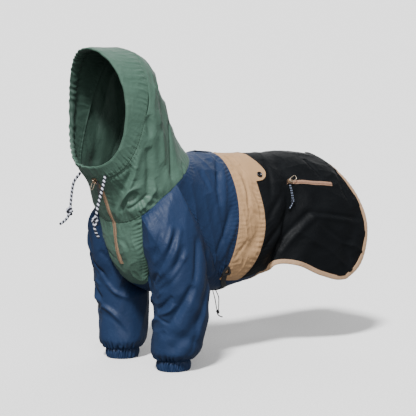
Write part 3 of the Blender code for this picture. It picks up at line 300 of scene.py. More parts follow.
# Columns: share, at, across.
POCKET_LINE = (
    (0.0, 3.03, 0.456),
    (0.25, 3.39, 0.518),
    (0.5, 3.69, 0.512),
    (0.75, 4.04, 0.497),
    (1.0, 4.43, 0.484),
)
POCKET_CORD_LINE = ((0.0, 3.12, 0.502), (0.5, 3.18, 0.569), (1.0, 3.226, 0.6302))
POCKET_KNOT_LINE = ((0.0, 3.235, 0.638), (0.5, 3.222, 0.662), (1.0, 3.13, 0.680))
POCKET_CORD_HEIGHT = 3.4
CHEST_SLIDER_AT = 0.795
# Columns: step, at, angle.
STRAP_LINE = (
    (0, 1.02, 128),
    (1, 1.14, 137),
    (2, 1.5, 148),
    (3, 1.85, 163),
    (4, 2.0, 182),
    (5, 1.9, 200),
    (6, 1.8, 216),
)
TAIL_TAB_AT = 5.05
ZIP_COLUMNS = np.linspace(-1, 1, 25)

CAMERA_TARGET, FLOOR_Z = (0.062, 0, -0.110), -0.3962
# Columns: name, place, strength, spread in degrees.
SUNS = (
    ("key", (-1.9, -1.3, 2.9), 6.9, 9),
    ("front", (-1.3, -2.3, 1.1), 1.6, 40),
    ("rim", (1.8, 1.6, 1.4), 1.2, 60),
)


def through(table, at):
    """A table's other columns at places along its first, on a smooth curve that doesn't overshoot."""
    table = np.asarray(table, float)
    knots, values = table[:, 0], table[:, 1:]
    gap = np.diff(knots)[:, None]
    secant = np.diff(values, axis=0) / gap
    slopes = np.concatenate([secant[:1], secant * 0])
    slopes[-1] = secant[-1]
    before, after = secant[:-1], secant[1:]
    same_way = before * after > 0
    first = (2 * gap[1:] + gap[:-1]) / np.where(same_way, before, 1)
    second = (gap[1:] + 2 * gap[:-1]) / np.where(same_way, after, 1)
    weight = np.where(same_way, first + second, 1)
    slopes[1:-1] = np.where(same_way, 3 * (gap[:-1] + gap[1:]) / weight, 0)
    at = np.clip(np.asarray(at, float), knots[0], knots[-1])
    row = np.clip(np.searchsorted(knots, at, side="right") - 1, 0, len(knots) - 2)
    step = (knots[row + 1] - knots[row])[..., None]
    t = (at - knots[row])[..., None] / step
    return (
        (1 + 2 * t) * (1 - t) ** 2 * values[row]
        + t * (1 - t) ** 2 * step * slopes[row]
        + t**2 * (3 - 2 * t) * values[row + 1]
        + t**2 * (t - 1) * step * slopes[row + 1]
    )


def signed_power(value, exponent):
    return np.sign(value) * np.abs(value) ** exponent


def smooth_step(value, start, end):
    t = np.clip((value - start) / (end - start), 0, 1)
    return t * t * (3 - 2 * t)


def unit(vectors):
    return vectors / np.maximum(np.linalg.norm(vectors, axis=-1, keepdims=True), 1e-12)


def on_sections(table, at, angle):
    """Points round superellipse sections, at an angle from the back's centre line, positive to the left."""
    at, angle = np.broadcast_arrays(np.asarray(at, float), np.asarray(angle, float))
    columns = np.moveaxis(through(table, at), -1, 0)
    back_x, back_z, front_x, front_z, half_width, bow, sag, upper, lower = columns
    fullness = np.where(np.cos(angle) > 0, upper, lower)
    along = signed_power(np.cos(angle), 2 / fullness)
    side = signed_power(np.sin(angle), 2 / fullness)
    half_x, half_z = (back_x - front_x) / 2, (back_z - front_z) / 2
    droop = sag * 0.77 * np.abs(np.sin(angle)) * (1 - np.cos(angle))
    push = (bow * side**2 + droop) / np.hypot(half_x, half_z)
    x = (back_x + front_x) / 2 + half_x * along + push * half_z
    z = (back_z + front_z) / 2 + half_z * along - push * half_x
    return np.stack([x, -half_width * side, z], axis=-1)


def trunk(at, angle):
    return on_sections(TRUNK_SECTIONS, at, angle)


def hood(at, angle):
    return on_sections(HOOD_SECTIONS, at, angle)


def belly_edge(at):
    """The angle of the belly panel's edge at places along the trunk."""
    along = np.interp(at, (0.87, 1.0, 2.0, 2.5), (1.0, 1.5, 2.5, 3.0))
    return np.radians(through(BELLY_EDGE, along)[..., 1])


def cape(at, across):
    """The back panel: on the trunk as far as the belly panel's end, then more and more as it hangs."""
    at, across = np.broadcast_arrays(np.asarray(at, float), np.asarray(across, float))
    back_x, back_z, low_x, low_y, low_z, bulge, fullness = np.moveaxis(through(CAPE_LINES, at), -1, 0)
    turn = np.abs(across) * math.pi / 2
    down = 1 - signed_power(np.cos(turn), 2 / fullness)
    out = signed_power(np.sin(turn), 2 / fullness)
    x = back_x + (low_x - back_x) * down + bulge * np.sin(math.pi * down)
    hanging = np.stack([x, -np.sign(across) * low_y * out, back_z + (low_z - back_z) * down], axis=-1)
    worn = trunk(np.minimum(at, TRUNK_END), across * belly_edge(at))
    share = smooth_step(at, BELLY_END, TRUNK_END)[..., None]
    return worn * (1 - share) + hanging * share


def normals(surface, at, across):
    """Directions out of a surface. Near the neck seam they turn to the mean of the hood's and the trunk's."""
    at, across = np.broadcast_arrays(np.asarray(at, float), np.asarray(across, float))
    step = 0.004
    along = surface(at + step, across) - surface(at - step, across)
    around = surface(at, across + step) - surface(at, across - step)
    own = unit(np.cross(around, along))
    if surface is hood:
        own = -own
    if surface is cape:
        return own
    share = 0.5 * np.clip(1 - at / NECK_BLEND, 0, 1)[..., None]
    if not share.any():
        return own
    zero = np.zeros(at.shape)
    round_neck = trunk(zero, across + step) - trunk(zero, across - step)
    of_trunk = unit(np.cross(round_neck, trunk(zero + step, across) - trunk(zero, across)))
    of_hood = -unit(np.cross(round_neck, hood(zero + step, across) - hood(zero, across)))
    return unit(own * (1 - share * 2) + (of_trunk + of_hood) * share)


def fold_heights(points, folds):
    """How far folds push points out of a surface, by their distance from each fold's curve.

    A narrow crease fades towards its ends. A broad fold keeps its depth, as it does in the source.
    """
    height = np.zeros(points.shape[:-1])
    t = np.linspace(0, 1, 15)[:, None]
    for start, middle, end, width, depth in folds:
        start, middle, end = (np.asarray(p, float) for p in (start, middle, end))
        line = (1 - t) * (1 - 2 * t) * start + 4 * t * (1 - t) * middle + t * (2 * t - 1) * end
        reach = 2.6 * width
        near = ((points > line.min(axis=0) - reach) & (points < line.max(axis=0) + reach)).all(axis=-1)
        if not near.any():
            continue
        from_start = points[near][:, None, :] - line[:-1]
        step = np.diff(line, axis=0)
        share = np.clip((from_start * step).sum(axis=-1) / (step * step).sum(axis=-1), 0, 1)
        away = np.linalg.norm(from_start - share[..., None] * step, axis=-1)
        nearest = away.argmin(axis=1)
        row = np.arange(len(nearest))
        along = (nearest + share[row, nearest]) / len(step)
        fade = 1.0 if width >= BROAD_FOLD else np.sqrt(np.clip(4 * along * (1 - along), 0, 1))
        height[near] += depth * fade * bell(away[row, nearest], width)
    return height


def noise(points, size, seed):
    """Smooth value noise from -1 to 1 on points, with cells of a size in millimetres along x, y and z."""
    place = points / np.broadcast_to(np.asarray(size, float), (3,)) + 100.0
    cell = np.floor(place).astype(np.int64)
    t = place - cell
    t = t * t * (3 - 2 * t)
    total = np.zeros(points.shape[:-1])
    for corner in range(8):
        step = np.array([corner & 1, corner >> 1 & 1, corner >> 2 & 1])
        x, y, z = np.moveaxis(cell + step, -1, 0)
        mixed = (x * 73856093) ^ (y * 19349663) ^ (z * 83492791) ^ (seed * 2654435761)
        mixed = (mixed ^ (mixed >> 13)) * 1274126177
        value = ((mixed ^ (mixed >> 16)) & 0xFFFF) / 32767.5 - 1
        total += value * np.where(step == 1, t, 1 - t).prod(axis=-1)
    return total


def bell(value, width):
    return np.exp(-((value / width) ** 2))


def crumple(points, depth, size, seed, lean=0.0):
    """Random creases, sharper on ridges than in hollows. Lean turns them in side view, in degrees."""
    turn = math.radians(lean)
    x, y, z = np.moveaxis(points, -1, 0)
    turned = [x * math.cos(turn) - z * math.sin(turn), y, x * math.sin(turn) + z * math.cos(turn)]
    turned = np.stack(turned, axis=-1)
    bent = turned + 15 * np.stack([noise(turned, 60, seed + k) for k in (11, 12, 13)], axis=-1)
    broad = 1 - 2 * np.sqrt(np.abs(noise(bent, size, seed)) + 0.004)
    fine = 1 - 2 * np.abs(noise(bent, np.asarray(size) * 0.5, seed + 1))
    patch = 0.6 + 0.4 * noise(points, 70, seed + 2)
    return depth * patch * (0.8 * broad + 0.2 * fine)


def arc(points, axis):
    """Distance along the rows or columns of a grid of points, from its first."""
    steps = np.linalg.norm(np.diff(points, axis=axis), axis=-1)
    zero = np.zeros_like(np.take(steps, [0], axis=axis))
    return np.concatenate([zero, np.cumsum(steps, axis=axis)], axis=axis)


def joined(points, axis=1):
    """A closed grid or line with its first points again at its end."""
    return np.concatenate([points, np.take(points, [0], axis=axis)], axis=axis)


def turned_to(points, edge):
    """A view of a grid that has one of its edges as its first row."""
    points = points if edge.endswith("row") else np.swapaxes(points, 0, 1)
    return points[::-1] if edge.startswith("last") else points


def from_edge(points, edge):
    """For each point of a grid: how far it is from an edge, and how far along that edge."""
    axis = 0 if edge.endswith("row") else 1
    away = arc(points, axis)
    if edge.startswith("last"):
        away = np.take(away, [-1], axis=axis) - away
    line = np.take(points, [0 if edge.startswith("first") else -1], axis=axis)
    return away, np.broadcast_to(arc(line, 1 - axis), away.shape)


def puckers(points, edge, depth, pitch, reach, seed):
    """The small gathers beside a seam: nothing at the seam itself, and strongest near it."""
    away, along = from_edge(points, edge)
    stir = noise(points, (26, 26, 26), seed)
    wave = signed_power(np.sin(TURN * along / pitch + 5 * stir + away * 0.05), 0.8)
    patch = 0.55 + 0.45 * noise(points, (38, 38, 38), seed + 5)
    return depth * patch * wave * (away / reach) * np.exp(1 - away / reach)


def valley(away, depth=0.7, width=1.6, stitched=0.28):
    """Where a seam pulls the cloth in, and the row of top stitching beside it."""
    return -depth * bell(away, width) - stitched * bell(away - SEWN_AT, 0.9)


def seam_valley(points, edge, depth=0.7, width=1.6):
    return valley(from_edge(points, edge)[0], depth, width)


def inside(points, edges, reach=18):
    """0 at these edges of a panel and 1 from a distance inside them, so that neighbours meet."""
    share = np.ones(points.shape[:-1])
    for edge in edges:
        share = share * smooth_step(from_edge(points, edge)[0], 0, reach)
    return share


def crumpled(points, depth, size, seed, lean=0.0, edges=ALL_SIDES, reach=18):
    """A crumple that dies away towards a panel's edges."""
    return crumple(points, depth, size, seed, lean) * inside(points, edges, reach)


def even(count, start=0.0, end=1.0):
    return np.linspace(start, end, count)


def refine(values, count):
    """Values at even steps, thinned or filled so that there are count of them."""
    return np.interp(even(count, 0, len(values) - 1), np.arange(len(values)), values)


def sampled(values, along, places):
    """Columns of values known at distances along a line, at other places on it."""
    return np.stack([np.interp(places, along, column) for column in np.asarray(values, float).T], axis=-1)


def smoothed(vectors, axis, times):
    """Unit vectors on a closed line, each drawn towards its two neighbours."""
    for _ in range(times):
        vectors = unit(2 * vectors + np.roll(vectors, 1, axis=axis) + np.roll(vectors, -1, axis=axis))
    return vectors


def two_faces(base, out, high, low):
    return [base + out * high[..., None], base + out * low[..., None]]


def reach_out(faces, edges=ALL_SIDES, by=0.12):
    """Carries a panel's edges a little past their seams, so that no light shows between neighbours."""
    moved = [points.copy() for points in faces]
    for points in moved:
        for edge in edges:
            lines = turned_to(points, edge)
            lines[0] -= unit(lines[1] - lines[0]) * by
    return moved


def make_mesh(name, points, faces, materials, uv=None, picks=None, sharp=50):
    """A smooth mesh. Its UV, in metres of cloth, has a row for each point or for each face's corner."""
    mesh = bpy.data.meshes.new(name)
    mesh.from_pydata((np.asarray(points) * MM).tolist(), [], faces)
    for slot in materials:
        mesh.materials.append(slot)
    if picks is not None:
        mesh.polygons.foreach_set("material_index", np.asarray(picks, np.int32))
    if uv is not None:
        layer = mesh.uv_layers.new(name="cloth")
        corners = np.zeros(len(mesh.loops), np.int32)
        mesh.loops.foreach_get("vertex_index", corners)
        uv = np.asarray(uv, np.float32)
        layer.data.foreach_set("uv", (uv if len(uv) == len(corners) else uv[corners]).ravel())
    mesh.update()
    mesh.shade_smooth()
    mesh.set_sharp_from_angle(angle=math.radians(sharp))
    made = bpy.data.objects.new(name, mesh)
    bpy.context.scene.collection.objects.link(made)
    return made


def ring_faces(rings, sides, closed=False):
    """Quads between closed rings of points. If closed, the last ring also joins the first."""
    i, j = np.divmod(np.arange((rings if closed else rings - 1) * sides), sides)
    n, k = (i + 1) % rings, (j + 1) % sides
    return np.stack([i * sides + j, i * sides + k, n * sides + k, n * sides + j], axis=1).tolist()


# A cell's four sides: the step to the cell beside it, and the side's two corners, as rows and columns.
CELL_SIDES = (
    ((-1, 0), (0, 0), (0, 1)),
    ((0, 1), (0, 1), (1, 1)),
    ((1, 0), (1, 1), (1, 0)),
    ((0, -1), (1, 0), (0, 0)),
)


def shell(name, faces, materials, closed=False, holes=None):
    """Cloth between two grids of points, with its free edges rounded by a middle row."""
    outer, inner = faces
    rows, columns = outer.shape[:2]
    cells = columns if closed else columns - 1
    kept = np.ones((rows - 1, cells), bool)
    if holes is not None:
        kept &= ~holes
    count = rows * columns
    i, j = np.nonzero(kept)
    k = (j + 1) % columns
    ring = np.stack([i * columns + j, i * columns + k, (i + 1) * columns + k, (i + 1) * columns + j], axis=1)
    padded = np.zeros((rows + 1, cells + 2), bool)
    padded[1:-1, 1:-1] = kept
    if closed:
        padded[1:-1, 0], padded[1:-1, -1] = kept[:, -1], kept[:, 0]
    rim = []
    for (down, over), *corners in CELL_SIDES:
        beside = padded[1 + down : rows + down, 1 + over : cells + 1 + over]
        i, j = np.nonzero(kept & ~beside)
        ends = [(i + row) * columns + (j + column) % columns for row, column in corners]
        rim.append(np.stack(ends, axis=1))
    rim = np.concatenate(rim)
    normal = np.cross(outer[1:, :1] - outer[:-1, :1], outer[:-1, 1:2] - outer[:-1, :1]).sum(axis=(0, 1))
    if normal @ (outer - inner)[:-1, 0].sum(axis=0) > 0:
        ring, rim = ring[:, ::-1], rim[:, ::-1]
    edge_points = np.unique(rim)
    middle = {p: 2 * count + n for n, p in enumerate(edge_points)}
    points = np.concatenate([outer.reshape(-1, 3), inner.reshape(-1, 3)])
    points = np.concatenate([points, (points[edge_points] + points[edge_points + count]) / 2])
    sides = []
    for a, b in rim.tolist():
        sides.append([b, a, middle[a], middle[b]])
        sides.append([middle[b], middle[a], a + count, b + count])
    polygons = ring.tolist() + (ring[:, ::-1] + count).tolist() + sides
    picks = np.zeros(len(polygons), np.int32)
    picks[len(ring) : 2 * len(ring)] = len(materials) - 1
    flat = (np.stack([arc(outer, 1), arc(outer, 0)], axis=-1) * MM).reshape(-1, 2)
    uv = np.concatenate([flat, flat, flat[edge_points]])
    return make_mesh(name, points, polygons, materials, uv, picks)


def dashes(name, lines, material, length=2.6, pitch=3.4, radius=0.28):
    """Rows of sewing: each line is (points, normals), and each stitch a small rounded bead along it."""
    points, faces = [], []
    for route, out in lines:
        along = arc(route, 0)
        places = np.arange(pitch / 2, along[-1], pitch)
        middle = sampled(route, along, places)
        way = unit(sampled(route, along, places + 0.4) - middle + 1e-9)
        up = unit(sampled(out, along, places))
        side = unit(np.cross(way, up))
        for m, w, u, s in zip(middle, way, up, side):
            base = len(points)
            centre = m + u * radius * 0.45
            points.append(centre - w * length / 2 - u * radius * 0.5)
            for share in (-0.3, 0.3):
                for c, d in ((1, 0), (0, 1), (-1, 0), (0, -1)):
                    points.append(centre + w * length * share + (s * c * 1.3 + u * d) * radius)
            points.append(centre + w * length / 2 - u * radius * 0.5)
            for k in range(4):
                n = (k + 1) % 4
                faces.append([base, base + 1 + n, base + 1 + k])
                faces.append([base + 1 + k, base + 1 + n, base + 5 + n, base + 5 + k])
                faces.append([base + 9, base + 5 + k, base + 5 + n])
    return make_mesh(name, points, faces, [material], sharp=80)


def stitch_row(outer, inner, edge, distance=SEWN_AT):
    """The line on a panel's outer face at a distance from one of its edges, with its normals."""
    outer, inner = turned_to(outer, edge), turned_to(inner, edge)
    away = arc(outer, 0)
    line, out = [], []
    for j in range(outer.shape[1]):
        share = np.interp(distance, away[:, j], np.arange(len(away)))
        row, part = int(share), share - int(share)
        row = min(row, len(away) - 2)
        line.append(outer[row, j] * (1 - part) + outer[row + 1, j] * part)
        out.append(outer[row, j] - inner[row, j])
    return np.array(line), unit(np.array(out))


def trim(made, slot, *nodes):
    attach(made, "jacket")
    if nodes:
        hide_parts(*nodes)
    return made


def sew(name, lines, fabric, **stitch):
    trim(dashes(name + "_stitching", lines, fabric.thread, **stitch), fabric.slot)


def dress(node, faces, fabric, kind="cloth", closed=False, holes=None):
    """A cloth piece in place of its CAD node."""
    made = trim(shell(f"{node}_{kind}", faces, fabric.faces, closed, holes), fabric.slot, node)
    outer = joined(faces[0]) if closed else faces[0]
    sides = np.diff(outer, axis=1)[:-1] * MM, np.diff(outer, axis=0)[:, :-1] * MM
    cells = np.linalg.norm(np.cross(*sides), axis=-1)
    if holes is not None:
        cells = cells[~holes]


def material(name):
    made = bpy.data.materials.new(name)
    made.use_nodes = True
    return made, made.node_tree.nodes["Principled BSDF"]


def connect(made, shader, inputs):
    """Sets a shader node's inputs by name: another node's output is linked, and anything else is a value."""
    for key, value in inputs.items():
        if isinstance(value, bpy.types.NodeSocket):
            made.node_tree.links.new(value, shader.inputs[key])
        else:
            shader.inputs[key].default_value = value


def add(made, kind, inputs=None, **settings):
    """The outputs of a new shader node."""
    new = made.node_tree.nodes.new("ShaderNode" + kind)
    for key, value in settings.items():
        setattr(new, key, value)
    connect(made, new, inputs or {})
    return new.outputs


def ramp(made, factor, low, high, start=0.0, end=1.0):
    """A colour that goes from low to high between two values of a factor."""
    colours = add(made, "ValToRGB", {"Fac": factor})["Color"]
    for element, place, colour in zip(colours.node.color_ramp.elements, (start, end), (low, high)):
        element.position = place
        element.color = (*colour, 1)
    return colours


def spread(made, value, low, high, start=0.0):
    inputs = {"Value": value, "From Min": start, "To Min": low, "To Max": high}
    return add(made, "MapRange", inputs)["Result"]


def bumps(made, height, strength, distance, under=None):
    inputs = {"Height": height, "Strength": strength, "Distance": distance}
    if under:
        inputs["Normal"] = under
    return add(made, "Bump", inputs)["Normal"]


def ribs(made, pitch, turn, distortion, detail=2.0):
    """Waves across the cloth's own measured length, one for each pitch."""
    cloth = add(made, "UVMap", uv_map="cloth")["UV"]
    turned = add(made, "Mapping", {"Vector": cloth, "Rotation": (0, 0, turn)})["Vector"]
    inputs = {"Vector": turned, "Scale": WAVE_PERIOD / pitch, "Distortion": distortion, "Detail": detail}
    return add(made, "TexWave", inputs)["Fac"]


def nylon(name, colour, deep, roughness, sheen=0.05, shine=0.28):
    """Thin woven cloth: a plain weave in bump, and soft patches of tone and gloss."""
    made, shader = material(name)
    place = add(made, "TexCoord")["Object"]
    threads = [ribs(made, WEAVE_PITCH, turn, 0.6, 1.0) for turn in (0, TURN / 4)]
    woven = add(made, "Math", {0: threads[0], 1: threads[1]}, operation="MAXIMUM")[0]
    stirred = {"Vector": place, "Scale": 75, "Detail": 5, "Roughness": 0.62, "Distortion": 1.6}
    rumple = add(made, "TexNoise", stirred)["Fac"]
    tone = add(made, "TexNoise", {"Vector": place, "Scale": 22, "Detail": 5})["Fac"]
    inputs = {
        "Base Color": ramp(made, tone, deep, colour, 0.3, 0.8),
        "Roughness": spread(made, rumple, roughness - 0.06, roughness + 0.08),
        "Normal": bumps(made, rumple, 0.3, 0.003, under=bumps(made, woven, 0.16, 0.0001)),
        "Sheen Weight": sheen,
        "Sheen Roughness": 0.4,
        "Specular IOR Level": shine,
    }
    connect(made, shader, inputs)
    return made


def plain(name, colour, roughness, metallic=0.0, grain=900, bump=0.15):
    """Thread, moulded plastic or metal with a fine grain."""
    made, shader = material(name)
    place = add(made, "TexCoord")["Object"]
    speck = add(made, "TexNoise", {"Vector": place, "Scale": grain, "Detail": 3})["Fac"]
    inputs = {
        "Base Color": ramp(made, speck, [0.8 * c for c in colour], colour, 0.25, 0.7),
        "Roughness": spread(made, speck, max(roughness - 0.08, 0.05), roughness + 0.08),
        "Normal": bumps(made, speck, bump, 0.0002),
        "Metallic": metallic,
    }
    connect(made, shader, inputs)
    return made


def ribbed(name, colour, deep, pitch):
    """Webbing, binding or zip tape: ribs drawn in its own measured length."""
    made = plain(name, colour, 0.6)
    wave = ribs(made, pitch, 0, 0.8)
    inputs = {"Base Color": ramp(made, wave, deep, colour, 0, 0.6), "Normal": bumps(made, wave, 0.5, 0.0003)}
    connect(made, made.node_tree.nodes["Principled BSDF"], inputs)
    return made


def braid(name, light, dark, pitch):
    """Braided cord: light and dark slanting strands, with others crossing them in relief."""
    made = plain(name, light, 0.75)
    cloth = add(made, "UVMap", uv_map="cloth")["UV"]
    split = add(made, "SeparateXYZ", {"Vector": cloth})
    strands = []
    for turn in (TURN, -TURN):
        turned = add(made, "Math", {0: split["X"], 1: turn}, operation="MULTIPLY")[0]
        slant = add(made, "Math", {0: split["Y"], 1: TURN / pitch, 2: turned}, operation="MULTIPLY_ADD")[0]
        strands.append(add(made, "Math", {0: slant}, operation="SINE")[0])
    over = add(made, "Math", {0: strands[0], 1: strands[1]}, operation="MULTIPLY")[0]
    inputs = {
        "Base Color": ramp(made, spread(made, strands[0], 0, 1, start=-1), dark, light, 0.56, 0.7),
        "Normal": bumps(made, over, 0.7, 0.0005),
    }
    connect(made, made.node_tree.nodes["Principled BSDF"], inputs)
    return made


Fabric = collections.namedtuple("Fabric", "slot faces thread")


def cloth(colour, outer, inner, thread):
    """Nylon in one colour. Each face has a colour, one for its deeper patches, roughness, sheen and shine."""
    faces = [nylon(colour + "_nylon", *outer), nylon(colour + "_nylon_inside", *inner)]
    return Fabric(colour + "_cloth", faces, plain(colour + "_thread", thread, 0.6))


def tape(name, colour, deep, pitch, slot, thread):
    return Fabric(slot, [ribbed(name, colour, deep, pitch)], thread)


GREEN = cloth(
    "green",
    outer=((0.062, 0.116, 0.088), (0.05, 0.098, 0.073), 0.5, 0.02, 0.22),
    # The inside faces: the outside's green at about half its brightness, as painted shade inside the hood.
    inner=((0.028, 0.056, 0.042), (0.021, 0.044, 0.033), 0.6),
    thread=(0.06, 0.12, 0.085),
)
NAVY = cloth(
    "navy",
    outer=((0.0125, 0.0265, 0.066), (0.0098, 0.0212, 0.054), 0.48, 0.0, 0.15),
    inner=((0.012, 0.028, 0.065), (0.009, 0.022, 0.052), 0.55),
    thread=(0.014, 0.032, 0.08),
)
TAN = cloth(
    "tan",
    outer=((0.39, 0.235, 0.12), (0.335, 0.2, 0.1), 0.6, 0.02),
    inner=((0.32, 0.21, 0.14), (0.28, 0.18, 0.12), 0.6),
    thread=(0.34, 0.22, 0.14),
)
BLACK = cloth(
    "black",
    outer=((0.0034, 0.0042, 0.0052), (0.0023, 0.0029, 0.0037), 0.56, 0.0, 0.1),
    inner=((0.004, 0.005, 0.006), (0.003, 0.004, 0.005), 0.6),
    thread=(0.012, 0.013, 0.015),
)
BINDING = tape("binding_tape", (0.38, 0.24, 0.14), (0.31, 0.195, 0.115), 0.0011, TAN.slot, TAN.thread)
ZIP_TAPE = tape("zip_tape", (0.34, 0.19, 0.125), (0.25, 0.14, 0.09), 0.0008, "zip_tape", TAN.thread)
CHEST_TAPE = tape("chest_zip_tape", (0.29, 0.19, 0.115), (0.21, 0.14, 0.085), 0.0008, "zip_tape", TAN.thread)
WEBBING = tape("webbing", (0.009, 0.009, 0.01), (0.004, 0.004, 0.005), 0.0009, "webbing", BLACK.thread)
ZIP_TEETH = plain("zip_teeth", (0.27, 0.15, 0.1), 0.35, 0.2)
PLASTIC = plain("buckle_plastic", (0.009, 0.009, 0.01), 0.35, grain=2200)
METAL = plain("slider_metal", (0.5, 0.36, 0.25), 0.3, 1.0)
RING_METAL = plain("ring_wire", (0.75, 0.62, 0.47), 0.28, 1.0)
SNAP_METAL = plain("snap_gunmetal", (0.045, 0.045, 0.05), 0.28, 1.0)
BRAID = braid("braided_cord", (0.5, 0.52, 0.6), (0.002, 0.003, 0.01), 0.0076)
THIN_BRAID = braid("thin_braided_cord", (0.15, 0.18, 0.25), (0.003, 0.004, 0.01), 0.005)
BLACK_CORD = braid("black_cord", (0.014, 0.014, 0.017), (0.003, 0.003, 0.004), 0.0024)


def worked(surface, at, across, folds, details, lift=0.0):
    """Both faces of cloth on a surface, with its folds. Each detail is a function and its numbers."""
    base = surface(at, across)
    height = fold_heights(base, folds) + lift
    for detail, *numbers in details:
        height = height + detail(base, *numbers)
    return two_faces(base, normals(surface, at, across), height, height - CLOTH)


def seam(table, along):
    table = np.asarray(table, float)
    return np.interp(along, table[:, 0], table[:, 1]), np.radians(through(table, along)[:, 1])


def angle_beside_throat(surface, at, distance):
    table = HOOD_SECTIONS if surface is hood else TRUNK_SECTIONS
    found = through(table, at)
    half_width, fullness = found[..., 4], found[..., 8]
    return math.pi - np.arcsin((distance / half_width) ** (fullness / 2))


# In the panels' details, puckers have an edge, depth, pitch, reach and seed, seam valleys an edge, depth
# and width, and crumples a depth, cell size, seed, lean, edges and reach.
def make_hood():
    at = BRIM_START * even(110)[:, None]
    over_yoke, over_sleeve = even(56, 0, SLEEVE_REAR), even(40, SLEEVE_REAR, SLEEVE_FRONT)
    over_chest = even(34, SLEEVE_FRONT, 180)
    angles = np.radians(np.concatenate([over_yoke, over_sleeve[1:], over_chest[1:]]))
    to_throat = np.clip((angles - angles[-12]) / (angles[-1] - angles[-12]), 0, 1)
    last = angle_beside_throat(hood, at, ZIP_HALF_WIDTH)
    angle = angles + to_throat * (last - angles[-1])
    stitches = []
    for side, name in ((1, "hood_left"), (-1, "hood_right")):
        details = (
            (puckers, "first row", 1.3, 11, 8, 3 + side),
            (puckers, "last row", 1.1, 7.5, 6, 5 + side),
            (puckers, "first column", 0.5, 12, 5, 7 + side),
            (puckers, "last column", 0.6, 13, 6, 9 + side),
            (seam_valley, "first row"),
            (seam_valley, "last row", 0.9, 1.4),
            (seam_valley, "first column", 0.5),
            (seam_valley, "last column", 0.3),
            (crumpled, 4.0, (28, 36, 130), 21, 12),
            (crumpled, 2.2, (20, 24, 55), 24, -20),
        )
        faces = reach_out(worked(hood, at, side * angle, ON_HOOD, details))
        dress(name, faces, GREEN)
        stitches += [stitch_row(*faces, edge) for edge in ALL_SIDES]
        stitches.append(stitch_row(*faces, "last row", 1.6))
    sew("hood", stitches, GREEN)


def make_brim():
    at = BRIM_START + (1 - BRIM_START) * (1 - (1 - even(29)) ** 1.5)[:, None]
    angle = np.linspace(0, TURN, 620, endpoint=False)[None, :]
    base = hood(at, angle)
    away = from_edge(joined(base), "first row")[0][:, :-1]
    share = (at - BRIM_START) / (1 - BRIM_START)
    drawn = 0.35 + 0.65 * (0.5 + 0.5 * noise(base, 70, 31))
    wave = np.sin(60 * angle + 3.5 * noise(base, 24, 32))
    wave = wave + 0.5 * np.sin(107 * angle + 3 * noise(base, 17, 33))
    height = drawn * wave * 1.1 * np.exp(-share * 2.8) * smooth_step(share, 0, 0.12)
    far = smooth_step(base[..., 1], -10, 45)
    bunched = np.sin(44 * angle + 5 * noise(base, 20, 35)) + 0.7 * noise(base, 9, 36)
    height = height + far * bunched * 1.1 * smooth_step(share, 0.45, 0.9)
    height = height + 0.4 * np.cos(20 * angle) * share
    height = height + crumple(base, 1.3, 20, 34) * smooth_step(share, 0, 0.3)
    height = height - 0.8 * bell(away, 1.5) - 0.5 * bell(away - 5.5, 1.0)
    roll = 0.8 * smooth_step(share, 0.9, 1.0)
    tunnel = (4.6 + 1.2 * noise(base, 22, 37)) * np.sqrt(np.clip(1 - ((share - 0.87) / 0.14) ** 2, 0, 1))
    faces = two_faces(base, normals(hood, at, angle), height - roll, height - CASING + roll - tunnel)
    faces = reach_out(faces, ["first row"])
    dress("hood_brim", faces, GREEN, closed=True)
    closed = [joined(points) for points in faces]
    sew("brim", [stitch_row(*closed, "first row", distance) for distance in (2.6, 5.6)], GREEN)


def waist_shares():
    """Places across the waist seam, from the back's centre to the belly's edge, closer under the flap."""
    flap = FLAP_ANGLE / WAIST_EDGE_ANGLE
    return np.concatenate([even(NECK_COLUMNS + 1, 0, flap), even(RAGLAN_COLUMNS + 1, flap)[1:]])


def slit_lips(points):
    """The cloth that stands up a little on both sides of the leash slit."""
    from_slit = np.abs(points[..., 1]) - 8
    return 1.6 * bell(from_slit, 3.5) * bell(points[..., 0] - 44, 20)


def make_yoke():
    rows = 61
    at_seam, angle_seam = seam(REAR_RAGLAN, even(RAGLAN_COLUMNS + 1))
    neck = np.radians(even(NECK_COLUMNS + 1, 0, SLEEVE_REAR))
    front_at = np.concatenate([np.zeros(NECK_COLUMNS), at_seam])
    front_angle = np.concatenate([neck[:-1], angle_seam])
    rear_angle = belly_edge(WAIST_FRONT) * waist_shares()
    down = refine(YOKE_ROWS, rows)[:, None]
    at = front_at * (1 - down) + WAIST_FRONT * down
    angle = front_angle * (1 - down) + rear_angle * down
    at[:, -1], angle[:, -1] = seam(BELLY_EDGE, 1 + down[:, 0] / 2)
    open_part = np.clip((down - SLIT_START) / (SLIT_END - SLIT_START), 0, 1)
    half_gap = SLIT_EDGE_ANGLE + SLIT_HALF_WIDTH / SLIT_RADIUS * np.sin(math.pi * open_part)
    angle = angle + half_gap * np.clip(1 - angle / SLIT_REACH_ANGLE, 0, 1)
    at = np.concatenate([at[:, ::-1], at], axis=1)
    angle = np.concatenate([-angle[:, ::-1], angle], axis=1)
    holes = np.zeros((rows - 1, at.shape[1] - 1), bool)
    centre = (down[1:, 0] + down[:-1, 0]) / 2
    holes[(centre > SLIT_START) & (centre < SLIT_END), at.shape[1] // 2 - 1] = True
    details = (
        (puckers, "first row", 0.8, 12, 6, 41),
        (puckers, "last row", 0.9, 9, 7, 42),
        (seam_valley, "first row"),
        (seam_valley, "last row"),
        (puckers, "first column", 0.7, 9, 6, 44),
        (puckers, "last column", 0.7, 9, 6, 45),
        (crumpled, 3.2, (26, 34, 120), 46, -14),
        (crumpled, 1.4, (18, 20, 45), 47, 20),
        (slit_lips,),
    )
    faces = reach_out(worked(trunk, at, angle, ON_BODY, details))
    dress("yoke", faces, NAVY, holes=holes)
    sew("yoke", [stitch_row(*faces, edge) for edge in ("first row", "last row")], NAVY)


